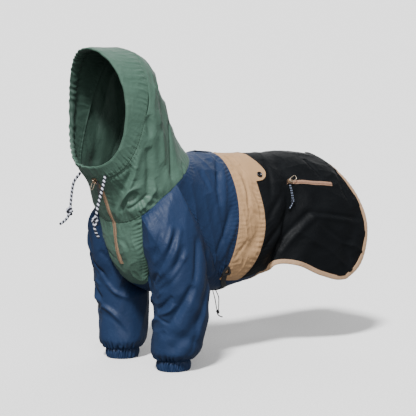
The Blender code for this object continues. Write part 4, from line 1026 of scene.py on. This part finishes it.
def make_band():
    last = 45
    front_edges = ("first row", "first column", "last column")
    at = even(last + 1, WAIST_FRONT, WAIST_REAR)[:, None]
    half = waist_shares()
    shares = np.concatenate([-half[:0:-1], half])
    edge = belly_edge(at)
    angle = edge * shares
    flap_share = np.abs(shares * math.degrees(edge[-1, 0])) / FLAP_ANGLE
    under_flap = flap_share <= 1.001
    rear = ~under_flap
    lift = FLAP_RISE * smooth_step(at, 1.6, 2.0) * smooth_step(-flap_share, -1.25, -1.0)
    reach = through(FLAP_EDGE, np.minimum(flap_share, 1))[:, 0] / FLAP_STEP
    corner = np.clip((flap_share - 0.8) / 0.2, 0, 1)
    reach = reach * np.sqrt(np.maximum(1 - 0.55 * corner**2, 0)) * under_flap
    flap_at = WAIST_REAR + reach * even(19)[1:, None]
    at = np.concatenate([np.broadcast_to(at, angle.shape), flap_at])
    angle = np.concatenate([angle, np.broadcast_to(angle[-1], flap_at.shape)])
    lift = np.concatenate([lift, np.full(flap_at.shape, FLAP_RISE)])
    holes = np.zeros((len(at) - 1, len(shares) - 1), bool)
    holes[last:] = ~(under_flap[1:] & under_flap[:-1])

    def crumpled_band(points, *numbers):
        share = inside(points, front_edges, 14)
        to_edge = arc(points[: last + 1], 0)
        share[: last + 1] *= np.where(under_flap, 1, smooth_step(to_edge[-1] - to_edge, 0, 14))
        share = share * (1 - 0.75 * under_flap * smooth_step(np.arange(len(at)), 25, last)[:, None])
        return crumple(points, *numbers) * share

    details = (
        (puckers, "first row", 0.8, 10, 7, 51),
        (crumpled_band, 2.8, (20, 26, 70), 53, -20),
        (crumpled_band, 1.6, (14, 16, 30), 54, 15),
        (seam_valley, "first row"),
    )
    faces = worked(trunk, at, angle, ON_BODY, details, lift)
    base = trunk(at, angle)[: last + 1]
    away, along = from_edge(base, "last row")
    wave = np.sin(TURN * along / 10 + 4 * noise(base, 26, 54))
    dip = valley(away, stitched=0.3) + 0.8 * wave * (away / 6) * np.exp(1 - away / 6)
    dip = normals(trunk, at[: last + 1], angle[: last + 1]) * dip[..., None]
    for points in faces:
        points[: last + 1, rear] += dip[:, rear]
    faces = reach_out(faces, front_edges)
    for points in faces:
        points[: last + 1, rear] = reach_out([points[: last + 1, rear]], ["last row"])[0]
    dress("waist_band", faces, TAN, holes=holes)
    lines = [stitch_row(*faces, "first row")]
    flap = [points[last - 5 :, under_flap] for points in faces]
    lines += [stitch_row(*flap, "last row", distance) for distance in (1.8, 5.2)]
    columns = np.nonzero(rear)[0]
    for group in (columns[columns < len(rear) // 2], columns[columns > len(rear) // 2]):
        body = [points[: last + 1, group] for points in faces]
        lines += [stitch_row(*body, "last row", distance) for distance in (SEWN_AT, 1.4)]
    sew("band", lines, TAN)


def make_back():
    half = waist_shares()
    across = np.concatenate([-half[:0:-1], half])
    rounding = np.clip((np.abs(across) - CORNER_START) / (1 - CORNER_START), 0, 1)
    rear = CAPE_END - CORNER_DEPTH * (1 - np.sqrt(1 - 0.96 * rounding**2))
    attached = even(ATTACHED_ROWS, WAIST_REAR, BELLY_END)[:, None]
    free = BELLY_END + (rear - BELLY_END) * even(85)[1:, None]
    at = np.concatenate([np.broadcast_to(attached, (ATTACHED_ROWS, len(across))), free])
    across = np.broadcast_to(across, at.shape)
    details = (
        (puckers, "first row", 0.7, 11, 7, 61),
        (seam_valley, "first row"),
        (crumpled, 3.8, (110, 40, 32), 62, 38, ["first row"], 75),
        (crumpled, 1.6, (50, 24, 20), 64, -10, ["first row"], 75),
        (puckers, "last row", 0.5, 16, 9, 63),
    )
    faces = reach_out(worked(cape, at, across, ON_BODY, details), ["first row"])
    for points in faces:
        sewn = [points[:ATTACHED_ROWS]]
        points[:ATTACHED_ROWS] = reach_out(sewn, ("first column", "last column"))[0]
    dress("back_panel", faces, BLACK)
    return at, across


def make_chest():
    rows, zip_end = 97, 60
    at_edge, angle_edge = (found[:, None] for found in seam(FRONT_RAGLAN, even(rows)))
    share = refine([1, 0.78, 0.54, 0.28, 0.0], 41)
    to_tip = (CHEST_TIP - at_edge[-1]) * even(rows)[:, None] ** 2
    centre_at = at_edge + to_tip
    zip_angle = angle_beside_throat(trunk, centre_at, ZIP_HALF_WIDTH)
    angle = zip_angle + (angle_edge - zip_angle) * share
    at = at_edge + to_tip * (1 - share**2)
    at = np.concatenate([at, at[:, ::-1]], axis=1)
    angle = np.concatenate([angle, TURN - angle[:, ::-1]], axis=1)
    holes = np.zeros((rows - 1, at.shape[1] - 1), bool)
    holes[:zip_end, len(share) - 1] = True
    details = (
        (puckers, "first column", 0.9, 8, 6, 71),
        (puckers, "last column", 0.9, 8, 6, 72),
        (seam_valley, "first column"),
        (seam_valley, "last column"),
        (puckers, "first row", 0.9, 11, 6, 73),
        (seam_valley, "first row"),
        (crumpled, 2.8, (24, 28, 80), 74, 15, ALL_SIDES, 12),
        (crumpled, 1.2, (16, 18, 34), 75, -30, ALL_SIDES, 12),
    )
    faces = reach_out(worked(trunk, at, angle, ON_CHEST, details))
    dress("chest_panel", faces, GREEN, holes=holes)
    lines = [stitch_row(*faces, edge) for edge in ("first column", "last column")]
    beside_zip = [points[: zip_end + 3] for points in faces]
    for columns, edge in ((slice(len(share)), "last column"), (slice(len(share), None), "first column")):
        lines.append(stitch_row(*(points[:, columns] for points in beside_zip), edge, 2.4))
    sew("chest", lines, GREEN)
    return centre_at[zip_end, 0], at[-1], angle[-1]


def make_belly(front_at, front_angle):
    band = [1 + refine(YOKE_ROWS, 41) / 2, even(61, 1.5, 2.5)[1:], even(31, 2.5, 3)[1:]]
    along = np.concatenate([even(40)[:-1], *band])
    at_edge, angle_edge = seam(BELLY_EDGE, along)
    share = (math.pi - front_angle) / (math.pi - angle_edge[0])
    back = (along / along[-1])[:, None]
    at = at_edge[:, None] + (front_at - at_edge[0]) * (1 - back) ** 6
    angle = math.pi - share * (math.pi - angle_edge[:, None])
    sewn = ("first row", "first column", "last column")
    details = (
        (puckers, "first column", 0.8, 9, 6, 81),
        (puckers, "last column", 0.8, 9, 6, 82),
        (seam_valley, "first column"),
        (seam_valley, "last column"),
        (crumpled, 1.6, (50, 26, 26), 83, 0.0, sewn),
    )
    faces = reach_out(worked(trunk, at, angle, ON_BODY, details), sewn)
    dress("belly_panel", faces, NAVY)
    sew("belly", [stitch_row(*faces, edge) for edge in sewn[1:]], NAVY)
    return at, angle


def make_binding(cape_at, cape_across, belly_at, belly_angle):
    """The tape folded round the back panel's free edges and the belly panel's rear edge, in one loop."""
    around = []
    for grid in (cape_at, cape_across):
        free = grid[ATTACHED_ROWS:]
        around.append(np.concatenate([free[:, -1], free[-1, -2:0:-1], free[::-1, 0]]))
    front = belly_at[-1, -2:0:-1], belly_angle[-1, -2:0:-1]
    edge = joined(np.concatenate([cape(*around), trunk(*front)]), 0)
    out = joined(unit(np.concatenate([normals(cape, *around), normals(trunk, *front)])), 0)
    along = arc(edge, 0)
    count = int(along[-1] / 2.2)
    places = np.linspace(0, along[-1], count, endpoint=False)
    route = sampled(edge, along, places)
    up = smoothed(unit(sampled(out, along, places)), 0, 3)
    ahead = unit(np.roll(route, -2, axis=0) - np.roll(route, 2, axis=0))
    away = smoothed(unit(np.cross(ahead, up)), 0, 6)
    fold = fold_heights(route, ON_BODY) - CLOTH / 2
    ripple = 0.25 * np.sin(TURN * places / 9 + 4 * noise(route, 30, 91)) + 0.25 * noise(route, 14, 92)
    low, high = -1.2, SEAM_GAP + BINDING_WIDTH
    half = BINDING_WALL / 2
    side = ((low, half - 0.15), (low + 2.2, half + 0.05), (low + 4.2, half + 0.1), (high - 1.2, half + 0.05))
    turns = np.radians((65, 30, 0, -30, -65))
    bend = [(high - half + half * math.cos(turn), half * math.sin(turn)) for turn in turns]
    profile = [*side, *bend, *((reach, -level) for reach, level in side[::-1])]
    rings = []
    for reach, level in profile:
        face = 1 if level > 0 else -1
        height = fold + level + face * ripple * min(reach / high, 1)
        rings.append(route + away * (reach + 0.15 * ripple)[:, None] + up * height[:, None])
    rings = np.stack(rings, axis=1).reshape(-1, 3)
    uv = np.stack(np.broadcast_arrays(places[:, None] * MM, np.arange(len(profile)) * 0.0012), axis=-1)
    faces = ring_faces(count, len(profile), closed=True)
    made = make_mesh("hem_binding_tape", rings, faces, BINDING.faces, uv.reshape(-1, 2))
    trim(made, BINDING.slot, "hem_binding")
    lines = []
    for face in (1, -1):
        line = route + away * 1.6 + up * (fold + face * (half - 0.02))[:, None]
        lines.append((joined(line, 0), face * joined(up, 0)))
    sew("binding", lines, BINDING)


def armhole():
    """The seam that a sleeve hangs from: along the hood, chest, belly and yoke, as sides from 0 to 4."""
    hood_side, chest_side, belly_side, yoke_side = ARMHOLE_COLUMNS
    neck_angle = np.radians(even(hood_side + 1, SLEEVE_REAR, SLEEVE_FRONT))
    seams = (
        (neck_angle * 0, neck_angle),
        seam(FRONT_RAGLAN, even(chest_side + 1)),
        seam(BELLY_EDGE, even(belly_side + 1)),
        seam(REAR_RAGLAN, even(yoke_side + 1, 1, 0)),
    )
    at, angle = (np.concatenate([found[k][:-1] for found in seams]) for k in (0, 1))
    sides = np.concatenate([side + np.arange(n) / n for side, n in enumerate(ARMHOLE_COLUMNS)])
    return trunk(at, angle), normals(trunk, at, angle), sides


def sleeve_ring(z, sides):
    centre_x, centre_y, radius_x, radius_y = np.moveaxis(through(SLEEVE_SECTIONS, z), -1, 0)
    angle = (0.5 - sides) * math.pi / 2
    x = centre_x + radius_x * np.sin(angle)
    y = -centre_y - radius_y * np.cos(angle)
    return np.stack(np.broadcast_arrays(x, y, z), axis=-1)


def folds_round_armhole(start, sides):
    """How the panels beside a sleeve fold along its seam, so that the sleeve meets them."""
    neck, chest, body = (fold_heights(start, folds) for folds in (ON_HOOD, ON_CHEST, ON_BODY))
    return np.where(sides < 1, neck, np.where(sides < 2, chest, body))


def cuff_gathers(base, turn, seed):
    """Where a cuff's elastic draws the cloth together, round the leg."""
    stir, fine = noise(base, 16, seed), noise(base, 12, seed + 1)
    return np.sin(26 * turn + 4 * stir) + 0.6 * np.sin(43 * turn + 3 * fine)


def sleeve_faces(seed, side):
    start, start_normals, sides = armhole()
    inner_z = through(SLEEVE_TOPS, sides)[:, 0]
    top = sleeve_ring(inner_z, sides)
    reach = np.linalg.norm(top - start, axis=1, keepdims=True) / 3
    bend = start + unit(through(SLEEVE_STARTS, sides)) * reach
    above = top + np.array((0, 0, 1)) * reach
    t = even(56)[:, None, None]
    shoulder = (1 - t) ** 3 * start + 3 * (1 - t) ** 2 * t * bend + 3 * (1 - t) * t**2 * above + t**3 * top
    share = even(75)[1:, None]
    z = inner_z[None, :] * (1 - share) + CUFF_TOP_Z * share
    base = np.concatenate([shoulder, sleeve_ring(z, np.broadcast_to(sides, z.shape))])
    out = np.cross(np.roll(base, -1, axis=1) - np.roll(base, 1, axis=1), np.gradient(base, axis=0))
    out = smoothed(unit(out), 1, 10)
    agree = (start_normals * out[0]).sum(axis=-1, keepdims=True)
    ease = (1 - smooth_step(np.arange(len(base)), 0, 10))[:, None, None] * smooth_step(agree, 0.2, 0.8)
    out = unit(start_normals * ease + out * (1 - ease))
    away, along = from_edge(joined(base), "first row")
    away, along = away[:, :-1], along[:, :-1]
    height = fold_heights(base, ON_SLEEVE) * smooth_step(away, 0, 22)
    height += folds_round_armhole(start * (1, side, 1), sides) * (1 - smooth_step(away, 0, 25))
    seamed = np.sin(TURN * along / 9 + 5 * noise(base, 26, seed)) * (away / 7) * np.exp(1 - away / 7)
    height += seamed * (0.55 + 0.45 * noise(base, 38, seed + 1)) + valley(away)
    height += crumple(base, 2.6, (28, 36, 150), seed + 2, 24) * smooth_step(away, 0, 14)
    height += crumple(base, 1.2, (22, 26, 75), seed + 4, -25) * smooth_step(away, 0, 10)
    to_cuff = away[-1] - away
    cuffed = cuff_gathers(base, sides * math.pi / 2, seed + 7)
    height += 2.2 * cuffed * bell(to_cuff, 15) * smooth_step(to_cuff, -3, 5)
    faces = two_faces(base, out, height, height - CLOTH)
    for points, drop in zip(faces, (0, CLOTH)):
        points[0] = start + start_normals * (height[0] - drop)[:, None]
    return reach_out(reach_out(faces, ["first row"], 0.3), ["last row"])


def cuff_faces(seed):
    sides = np.linspace(0, 4, 300, endpoint=False)
    z = even(17, CUFF_TOP_Z, CUFF_END_Z)[:, None]
    base = sleeve_ring(z, sides[None, :])
    out = unit(base - base.mean(axis=1, keepdims=True))
    down = (CUFF_TOP_Z - z) / (CUFF_TOP_Z - CUFF_END_Z)
    wave = cuff_gathers(base, sides * math.pi / 2, seed)
    wave = np.where(wave > 0, np.abs(wave) ** 0.7, -(np.abs(wave) ** 1.2))
    height = 1.35 * wave * (0.25 + 0.75 * np.sin(math.pi * np.clip(down, 0.06, 1) ** 0.9) ** 0.7)
    height = height + np.sin(math.pi * down) - 0.7 * bell(down, 0.1)
    wall = CASING - smooth_step(down, 0.9, 1.0)
    return reach_out(two_faces(base, out, height, height - wall), ["first row"])


def make_pair(kind, faces, held, on, sewn_at, **stitch):
    """The left and right sleeve or cuff. The faces of both are given as if they were on the left."""
    lines = []
    for side, sign, grids in (("left", 1, faces[0]), ("right", -1, faces[1])):
        grids = [points * (1, sign, 1) for points in grids]
        dress(f"{kind}_{side}", grids, NAVY, closed=True)
        lines.append(stitch_row(*(joined(points) for points in grids), "first row", sewn_at))
    sew(kind, lines, NAVY, **stitch)


def frame_at(surface, at, across, towards=(1, 0, 0)):
    """A place on a surface with three directions: along it, across it and out of it."""
    out = normals(surface, at, across)
    towards = np.asarray(towards, float)
    along = unit(towards - out * (towards @ out))
    return surface(at, across), along, np.cross(out, along), out


def placed(local, frame):
    place, along, side, out = frame
    local = np.asarray(local, float)
    return place + local[..., :1] * along + local[..., 1:2] * side + local[..., 2:] * out


def across_teeth(name, route, side, out, material, pitch=1.5, size=(2.2, 0.8, 0.5)):
    """A zip's teeth: small blocks across its line, shifted to either side in turn."""
    along = arc(route, 0)
    places = np.arange(pitch / 2, along[-1], pitch)
    length, width, height = size
    points, faces = [], []
    centres, wides, ups = (sampled(values, along, places) for values in (route, side, out))
    for n, (centre, wide, up) in enumerate(zip(centres, unit(wides), unit(ups))):
        way = np.cross(wide, up)
        centre = centre + wide * (0.45 if n % 2 else -0.45)
        base = len(points)
        for level, shrink in ((0, 1.0), (height * 0.65, 1.0), (height, 0.72)):
            for a, b in ((-1, -1), (1, -1), (1, 1), (-1, 1)):
                corner = wide * a * length / 2 * shrink + way * b * width / 2 * shrink
                points.append(centre + corner + up * level)
        faces += [[base + corner for corner in face] for face in ring_faces(3, 4)]
        faces += [[base + 8, base + 9, base + 10, base + 11], [base + 3, base + 2, base + 1, base]]
    return make_mesh(name, points, faces, [material], sharp=35)


def zip_profile(share, ripple):
    """How high the strip stands above its seat: a ridge of covered teeth between two flat tapes."""
    ridge = 0.8 * smooth_step(-np.abs(share), -0.52, -0.34)
    return ridge - 0.35 * bell(np.abs(share) - 0.62, 0.06) + ripple


def finish_zip(node, faces, fabric, sewn):
    """A zip's strip with its two rows of sewing and its teeth."""
    dress(node, faces, fabric, kind="strip")
    out = unit(faces[0] - faces[1])
    sew(node, [(faces[0][:, k], out[:, k]) for k in sewn], fabric, length=1.8, pitch=2.4, radius=0.2)
    centre = len(ZIP_COLUMNS) // 2
    middle = faces[0][:, centre] - out[:, centre] * 0.15
    side = unit(faces[0][:, centre + 1] - faces[0][:, centre - 1])
    trim(across_teeth(node + "_teeth", middle, side, out[:, centre], ZIP_TEETH), fabric.slot)


def make_chest_zip(end_at):
    stretches = []
    for surface, places in ((hood, even(150, BRIM_START - 0.01, 0.04)), (trunk, even(70, 0, end_at - 0.004))):
        places, sides = places[:, None], ZIP_COLUMNS * (ZIP_HALF_WIDTH + 0.15)
        left = angle_beside_throat(surface, places, np.abs(sides) + 1e-6)
        angle = np.where(sides < 0, left, TURN - left)
        base = surface(places, angle)
        ripple = 0.22 * np.sin(base[..., 2] / 3.4 + 3 * noise(base, 20, 171)) * ZIP_COLUMNS**2
        height = zip_profile(ZIP_COLUMNS, ripple)
        stretches.append(two_faces(base, normals(surface, places, angle), height, height - ZIP_WALL))
    faces = [np.concatenate(both) for both in zip(*stretches)]
    finish_zip("chest_zip", faces, CHEST_TAPE, (3, 21))


def make_pocket_zip():
    line = through(POCKET_LINE, even(110))
    half = POCKET_ZIP_WIDTH / 2 / CAPE_GIRTH
    at, across = np.broadcast_arrays(line[:, :1], line[:, 1:] + ZIP_COLUMNS * half)
    base = cape(at, across)
    ripple = 0.2 * np.sin(base[..., 0] / 3.0 + 3 * noise(base, 20, 172)) * ZIP_COLUMNS**2
    lift = fold_heights(base, BODY_FOLDS) + POCKET_ZIP_LIFT
    high = lift + ZIP_WALL + zip_profile(ZIP_COLUMNS, ripple) - 0.9 * ZIP_COLUMNS**10
    low = lift - 1.4 * ZIP_COLUMNS**6
    faces = two_faces(base, normals(cape, at, across), high, low)
    finish_zip("pocket_zip", faces, ZIP_TAPE, (2, 22))


def make_strap():
    found = through(STRAP_LINE, even(170, 0, STRAP_LINE[-1][0]))
    at, angle = found[:, :1], np.radians(found[:, 1:])
    pace = np.linalg.norm(trunk(at + 0.01, angle) - trunk(at - 0.01, angle), axis=-1) / 0.02
    wide = even(15, -1, 1)
    at = at + wide * STRAP_WIDTH / 2 / pace
    rim = 0.3 * wide**8
    base, out = trunk(at, angle), normals(trunk, at, angle)
    low = fold_heights(base, BODY_FOLDS) + STRAP_LIFT
    faces = two_faces(base, out, low + STRAP_WALL - rim, low + rim)
    dress("belly_strap", faces, WEBBING, kind="webbing")
    lines = [(faces[0][4:24, k], out[4:24, k]) for k in (3, 11)]
    lines += [(faces[0][k, 2:13], out[k, 2:13]) for k in (6, 20, 160)]
    sew("strap", lines, WEBBING, length=1.6, pitch=2.2, radius=0.22)


def make_tail_tab():
    frame = frame_at(cape, TAIL_TAB_AT, 0.0)
    along, side = even(33, -1, 1)[:, None], even(21, -1, 1)
    rim = 0.5 * np.maximum(along**12, side**12)
    high = TAB_WALL - rim + 0.1 * np.cos(9 * along) * np.cos(5 * side)
    flat = np.broadcast_arrays(along * TAB_LENGTH / 2, side * TAB_WIDTH / 2)
    faces = [placed(np.stack([*flat, level], axis=-1), frame) for level in (high, 0.1 + 0.2 * rim)]
    dress("tail_tab", faces, WEBBING, kind="webbing")
    box = np.array([(-7.5, -4), (7.5, -4), (7.5, 4), (-7.5, 4), (-7.5, -4)])
    corners = sampled(box, np.arange(5), even(60, 0, 4))
    line = placed(np.column_stack([corners, np.full(60, TAB_WALL)]), frame)
    out = np.broadcast_to(frame[3], line.shape)
    sew("tail_tab", [(line, out)], WEBBING, length=1.5, pitch=2.1, radius=0.2)


def make_snaps():
    count, rings = 48, len(SNAP_PROFILE) - 1
    turns = np.arange(count) * TURN / count
    low = FLAP_RISE + SEAM_GAP + 0.25
    local = [(0, 0, low + SNAP_PROFILE[0][1])]
    for radius, level in SNAP_PROFILE[1:]:
        local += [(radius * math.cos(t), radius * math.sin(t), low + level) for t in turns]
    local.append((0, 0, low))
    faces = [[1 + corner for corner in face[::-1]] for face in ring_faces(rings, count)]
    bottom = 1 + (rings - 1) * count
    for j in range(count):
        k = (j + 1) % count
        faces += [[0, 1 + j, 1 + k], [bottom + j, len(local) - 1, bottom + k]]
    for side, name in ((1, "snap_left"), (-1, "snap_right")):
        frame = frame_at(trunk, SNAP_AT, side * math.radians(SNAP_ANGLE))
        trim(make_mesh(name + "_metal", placed(local, frame), faces, [SNAP_METAL], sharp=60), "metal", name)


def tube(name, route, radius, material, sides=14):
    """A cord's tube along a route of points, with its turn and length as its UV."""
    route = np.asarray(route, float)
    ahead = unit(np.gradient(route, axis=0))
    side = unit(np.cross(ahead[0], (0.31, 0.17, 0.93)))
    turns = (np.arange(sides) * TURN / sides)[:, None]
    rings = []
    for point, way in zip(route, ahead):
        side = unit(side - way * (side @ way))
        rings.append(point + radius * (np.cos(turns) * side + np.sin(turns) * np.cross(way, side)))
    ends = [route[:1] - ahead[:1] * radius * 0.3, route[-1:] + ahead[-1:] * radius * 0.3]
    points = np.concatenate(rings + ends)
    faces = ring_faces(len(route), sides)
    length = arc(route, 0) * MM
    i, j = np.divmod(np.arange(len(faces)), sides)
    uv = np.stack([np.stack([j, j + 1, j + 1, j], axis=1) / sides, length[[i, i, i + 1, i + 1]].T], axis=-1)
    uv = uv.reshape(-1, 2).tolist()
    last = (len(route) - 1) * sides
    for j in range(sides):
        k = (j + 1) % sides
        faces += [[len(points) - 2, k, j], [len(points) - 1, last + j, last + k]]
        uv += [(j / sides, length[0])] * 3 + [(j / sides, length[-1])] * 3
    return make_mesh(name, points, faces, [material], uv)


def smooth_route(points, count):
    return through([(i, *p) for i, p in enumerate(points)], even(count, 0, len(points) - 1))


def knot_route(top, bottom, end, radius, wraps):
    """A stopper knot: the cord winds down round its own axis, then runs on as the tail."""
    top, bottom, end = (np.asarray(p, float) for p in (top, bottom, end))
    axis = unit(bottom - top)
    side = unit(np.cross(axis, (0.2, 0.9, 0.1)))
    t = even(110)[:, None]
    swing = radius * smooth_step(t, 0.0, 0.14) * smooth_step(-t, -1.0, -0.86)
    turn = wraps * TURN * t
    lean = 0.06 * np.linalg.norm(bottom - top) * np.sin(turn * 0.5)
    winding = top + (bottom - top) * (0.04 + 0.92 * t) + axis * lean
    winding = winding + swing * (np.cos(turn) * side + np.sin(turn) * np.cross(axis, side))
    s = even(40)[1:, None]
    bend = bottom + axis * np.linalg.norm(end - bottom) * 0.35
    tail = (1 - s) ** 2 * winding[-1] + 2 * s * (1 - s) * bend + s**2 * end
    return np.concatenate([winding, tail])


def make_knot(name, node, points, cord_radius, radius, wraps, material):
    route = knot_route(*points, radius - cord_radius * 1.05, wraps)
    made = tube(name, route, cord_radius, material)
    core = tube(name + "_core", smooth_route(points[:2], 12), radius * 0.55, material)
    both = [core, made]
    with bpy.context.temp_override(active_object=made, selected_editable_objects=both, selected_objects=both):
        bpy.ops.object.join()
    return trim(made, "drawcord", node)


def hang(name, nodes, route, diameter, material):
    """A free cord in place of its CAD nodes, along a route from where it leaves the cloth."""
    made = trim(tube(name, route, diameter / 2, material), "drawcord", *nodes)


def beside_cape(line, places, shift=0.0, height=0.0):
    at, across = through(line, places).T
    base = cape(at + shift, across)
    height = fold_heights(base, BODY_FOLDS) + POCKET_CORD_HEIGHT + height
    return base + normals(cape, at + shift, across) * height[:, None]


def make_cords():
    for side, line, ends in (("left", LEFT_DRAWCORD, LEFT_KNOT), ("right", RIGHT_DRAWCORD, RIGHT_KNOT)):
        node, route = "drawcord_" + side, smooth_route(line, 150)
        knot = make_knot(node + "_stopper", node + "_knot", ends, DRAWCORD_DIAMETER / 2, 7.0, 2.4, BRAID)
        hang(node + "_braid", [node], route, DRAWCORD_DIAMETER, BRAID)
    thin = THIN_CORD_DIAMETER
    knots = [make_knot("belly_cord_stopper", "belly_cord_knot", BELLY_KNOT, 1.15, 3.6, 2.6, BLACK_CORD)]
    for number, letter, line in zip("12", "ab", BELLY_CORDS):
        route = smooth_route(line, 90)
        hang("belly_cord_" + number, ["belly_cord_" + letter], route, thin, BLACK_CORD)
        knots = []  # both cords end in one knot, made before them
    frame = frame_at(hood, CHEST_SLIDER_AT, math.pi, towards=(0.5, 0, -0.86))
    for letter, points in zip("ab", CHEST_CORDS):
        first = np.array(points[0])
        drop = placed(first, frame) + (np.array(points) - first) * (1, -1, -1)
        route = smooth_route(drop, 90)
        hang("chest_cord_braid_" + letter, ["chest_cord_" + letter], route, thin, BLACK_CORD)
    legs = [beside_cape(POCKET_CORD_LINE, even(40), shift) for shift in (-0.0165, 0.0165)]
    ends = beside_cape(POCKET_KNOT_LINE, even(3), height=0.6)
    knot = make_knot("pocket_cord_stopper", "pocket_cord_knot", ends, 1.15, 3.4, 2.2, THIN_BRAID)
    middle = (legs[0][-1] + legs[1][-1]) / 2 + (ends[0] - legs[0][-1]) * 0.3
    route = np.concatenate([legs[0], middle[None], legs[1][::-1]])
    hang("pocket_cord_braid", ["pocket_cord_a", "pocket_cord_b"], route, thin, THIN_BRAID)


def dress_hard_pieces():
    """The solids that stay: sliders, rings and buckle take their finish and softened edges."""
    finishes = {
        "chest_slider": (METAL, 0.35),
        "pocket_slider": (METAL, 0.35),
        "chest_pull": (RING_METAL, 0),
        "pocket_pull": (RING_METAL, 0),
        "belly_buckle": (PLASTIC, 0.5),
    }
    for name, (finish, bevel) in finishes.items():
        node = frame["nodes"][name]
        for slot in node.material_slots:
            slot.material = finish
        if bevel:
            soften = node.modifiers.new("soft edges", "BEVEL")
            soften.width = bevel * MM
            soften.segments = 3
            soften.limit_method = "ANGLE"
            soften.angle_limit = math.radians(35)


def make_camera():
    azimuth, elevation, distance = math.radians(-40), math.radians(7), 3.4
    away = Vector((math.sin(azimuth), -math.cos(azimuth), math.tan(elevation))) * math.cos(elevation)
    data = bpy.data.cameras.new("camera")
    data.lens, data.sensor_width = 150.9, 36
    data.clip_end = 1200
    camera = bpy.data.objects.new("camera", data)
    camera.location = Vector(CAMERA_TARGET) + away * distance
    camera.rotation_euler = away.to_track_quat("Z", "Y").to_euler()
    bpy.context.scene.collection.objects.link(camera)
    bpy.context.scene.camera = camera


def make_studio():
    world = bpy.data.worlds.new("studio")
    world.use_nodes = True
    world.node_tree.nodes["Background"].inputs["Color"].default_value = (1, 1, 1, 1)
    world.node_tree.nodes["Background"].inputs["Strength"].default_value = 0.38
    bpy.context.scene.world = world
    for name, place, strength, spread_angle in SUNS:
        data = bpy.data.lights.new(name, "SUN")
        data.energy, data.angle = strength, math.radians(spread_angle)
        light = bpy.data.objects.new(name, data)
        light.location = place
        light.rotation_euler = Vector(place).to_track_quat("Z", "Y").to_euler()
        bpy.context.scene.collection.objects.link(light)
    corners = [(-400, -400, 0), (400, -400, 0), (400, 400, 0), (-400, 400, 0)]
    mesh = bpy.data.meshes.new("floor")
    mesh.from_pydata(corners, [], [(0, 1, 2, 3)])
    mesh.materials.append(plain("pale_floor", (0.95, 0.95, 0.95), 0.9, grain=300, bump=0.0))
    floor = bpy.data.objects.new("floor", mesh)
    floor.location.z = FLOOR_Z
    floor.visible_diffuse = floor.visible_glossy = False  # the floor throws no light up into the cloth
    bpy.context.scene.collection.objects.link(floor)


make_camera()
make_cords()
make_hood()
make_brim()
make_yoke()
make_band()
CAPE_GRIDS = make_back()
ZIP_END, *CHEST_ROW = make_chest()
make_chest_zip(ZIP_END)
make_binding(*CAPE_GRIDS, *make_belly(*CHEST_ROW))
make_pair("sleeve", [sleeve_faces(101, 1), sleeve_faces(131, -1)], "hung", ["yoke"], SEWN_AT)
make_pair("cuff", [cuff_faces(151), cuff_faces(161)], "gathered", [], 1.8, length=2.0, pitch=2.8)
make_pocket_zip()
make_strap()
make_tail_tab()
make_snaps()
dress_hard_pieces()
make_studio()
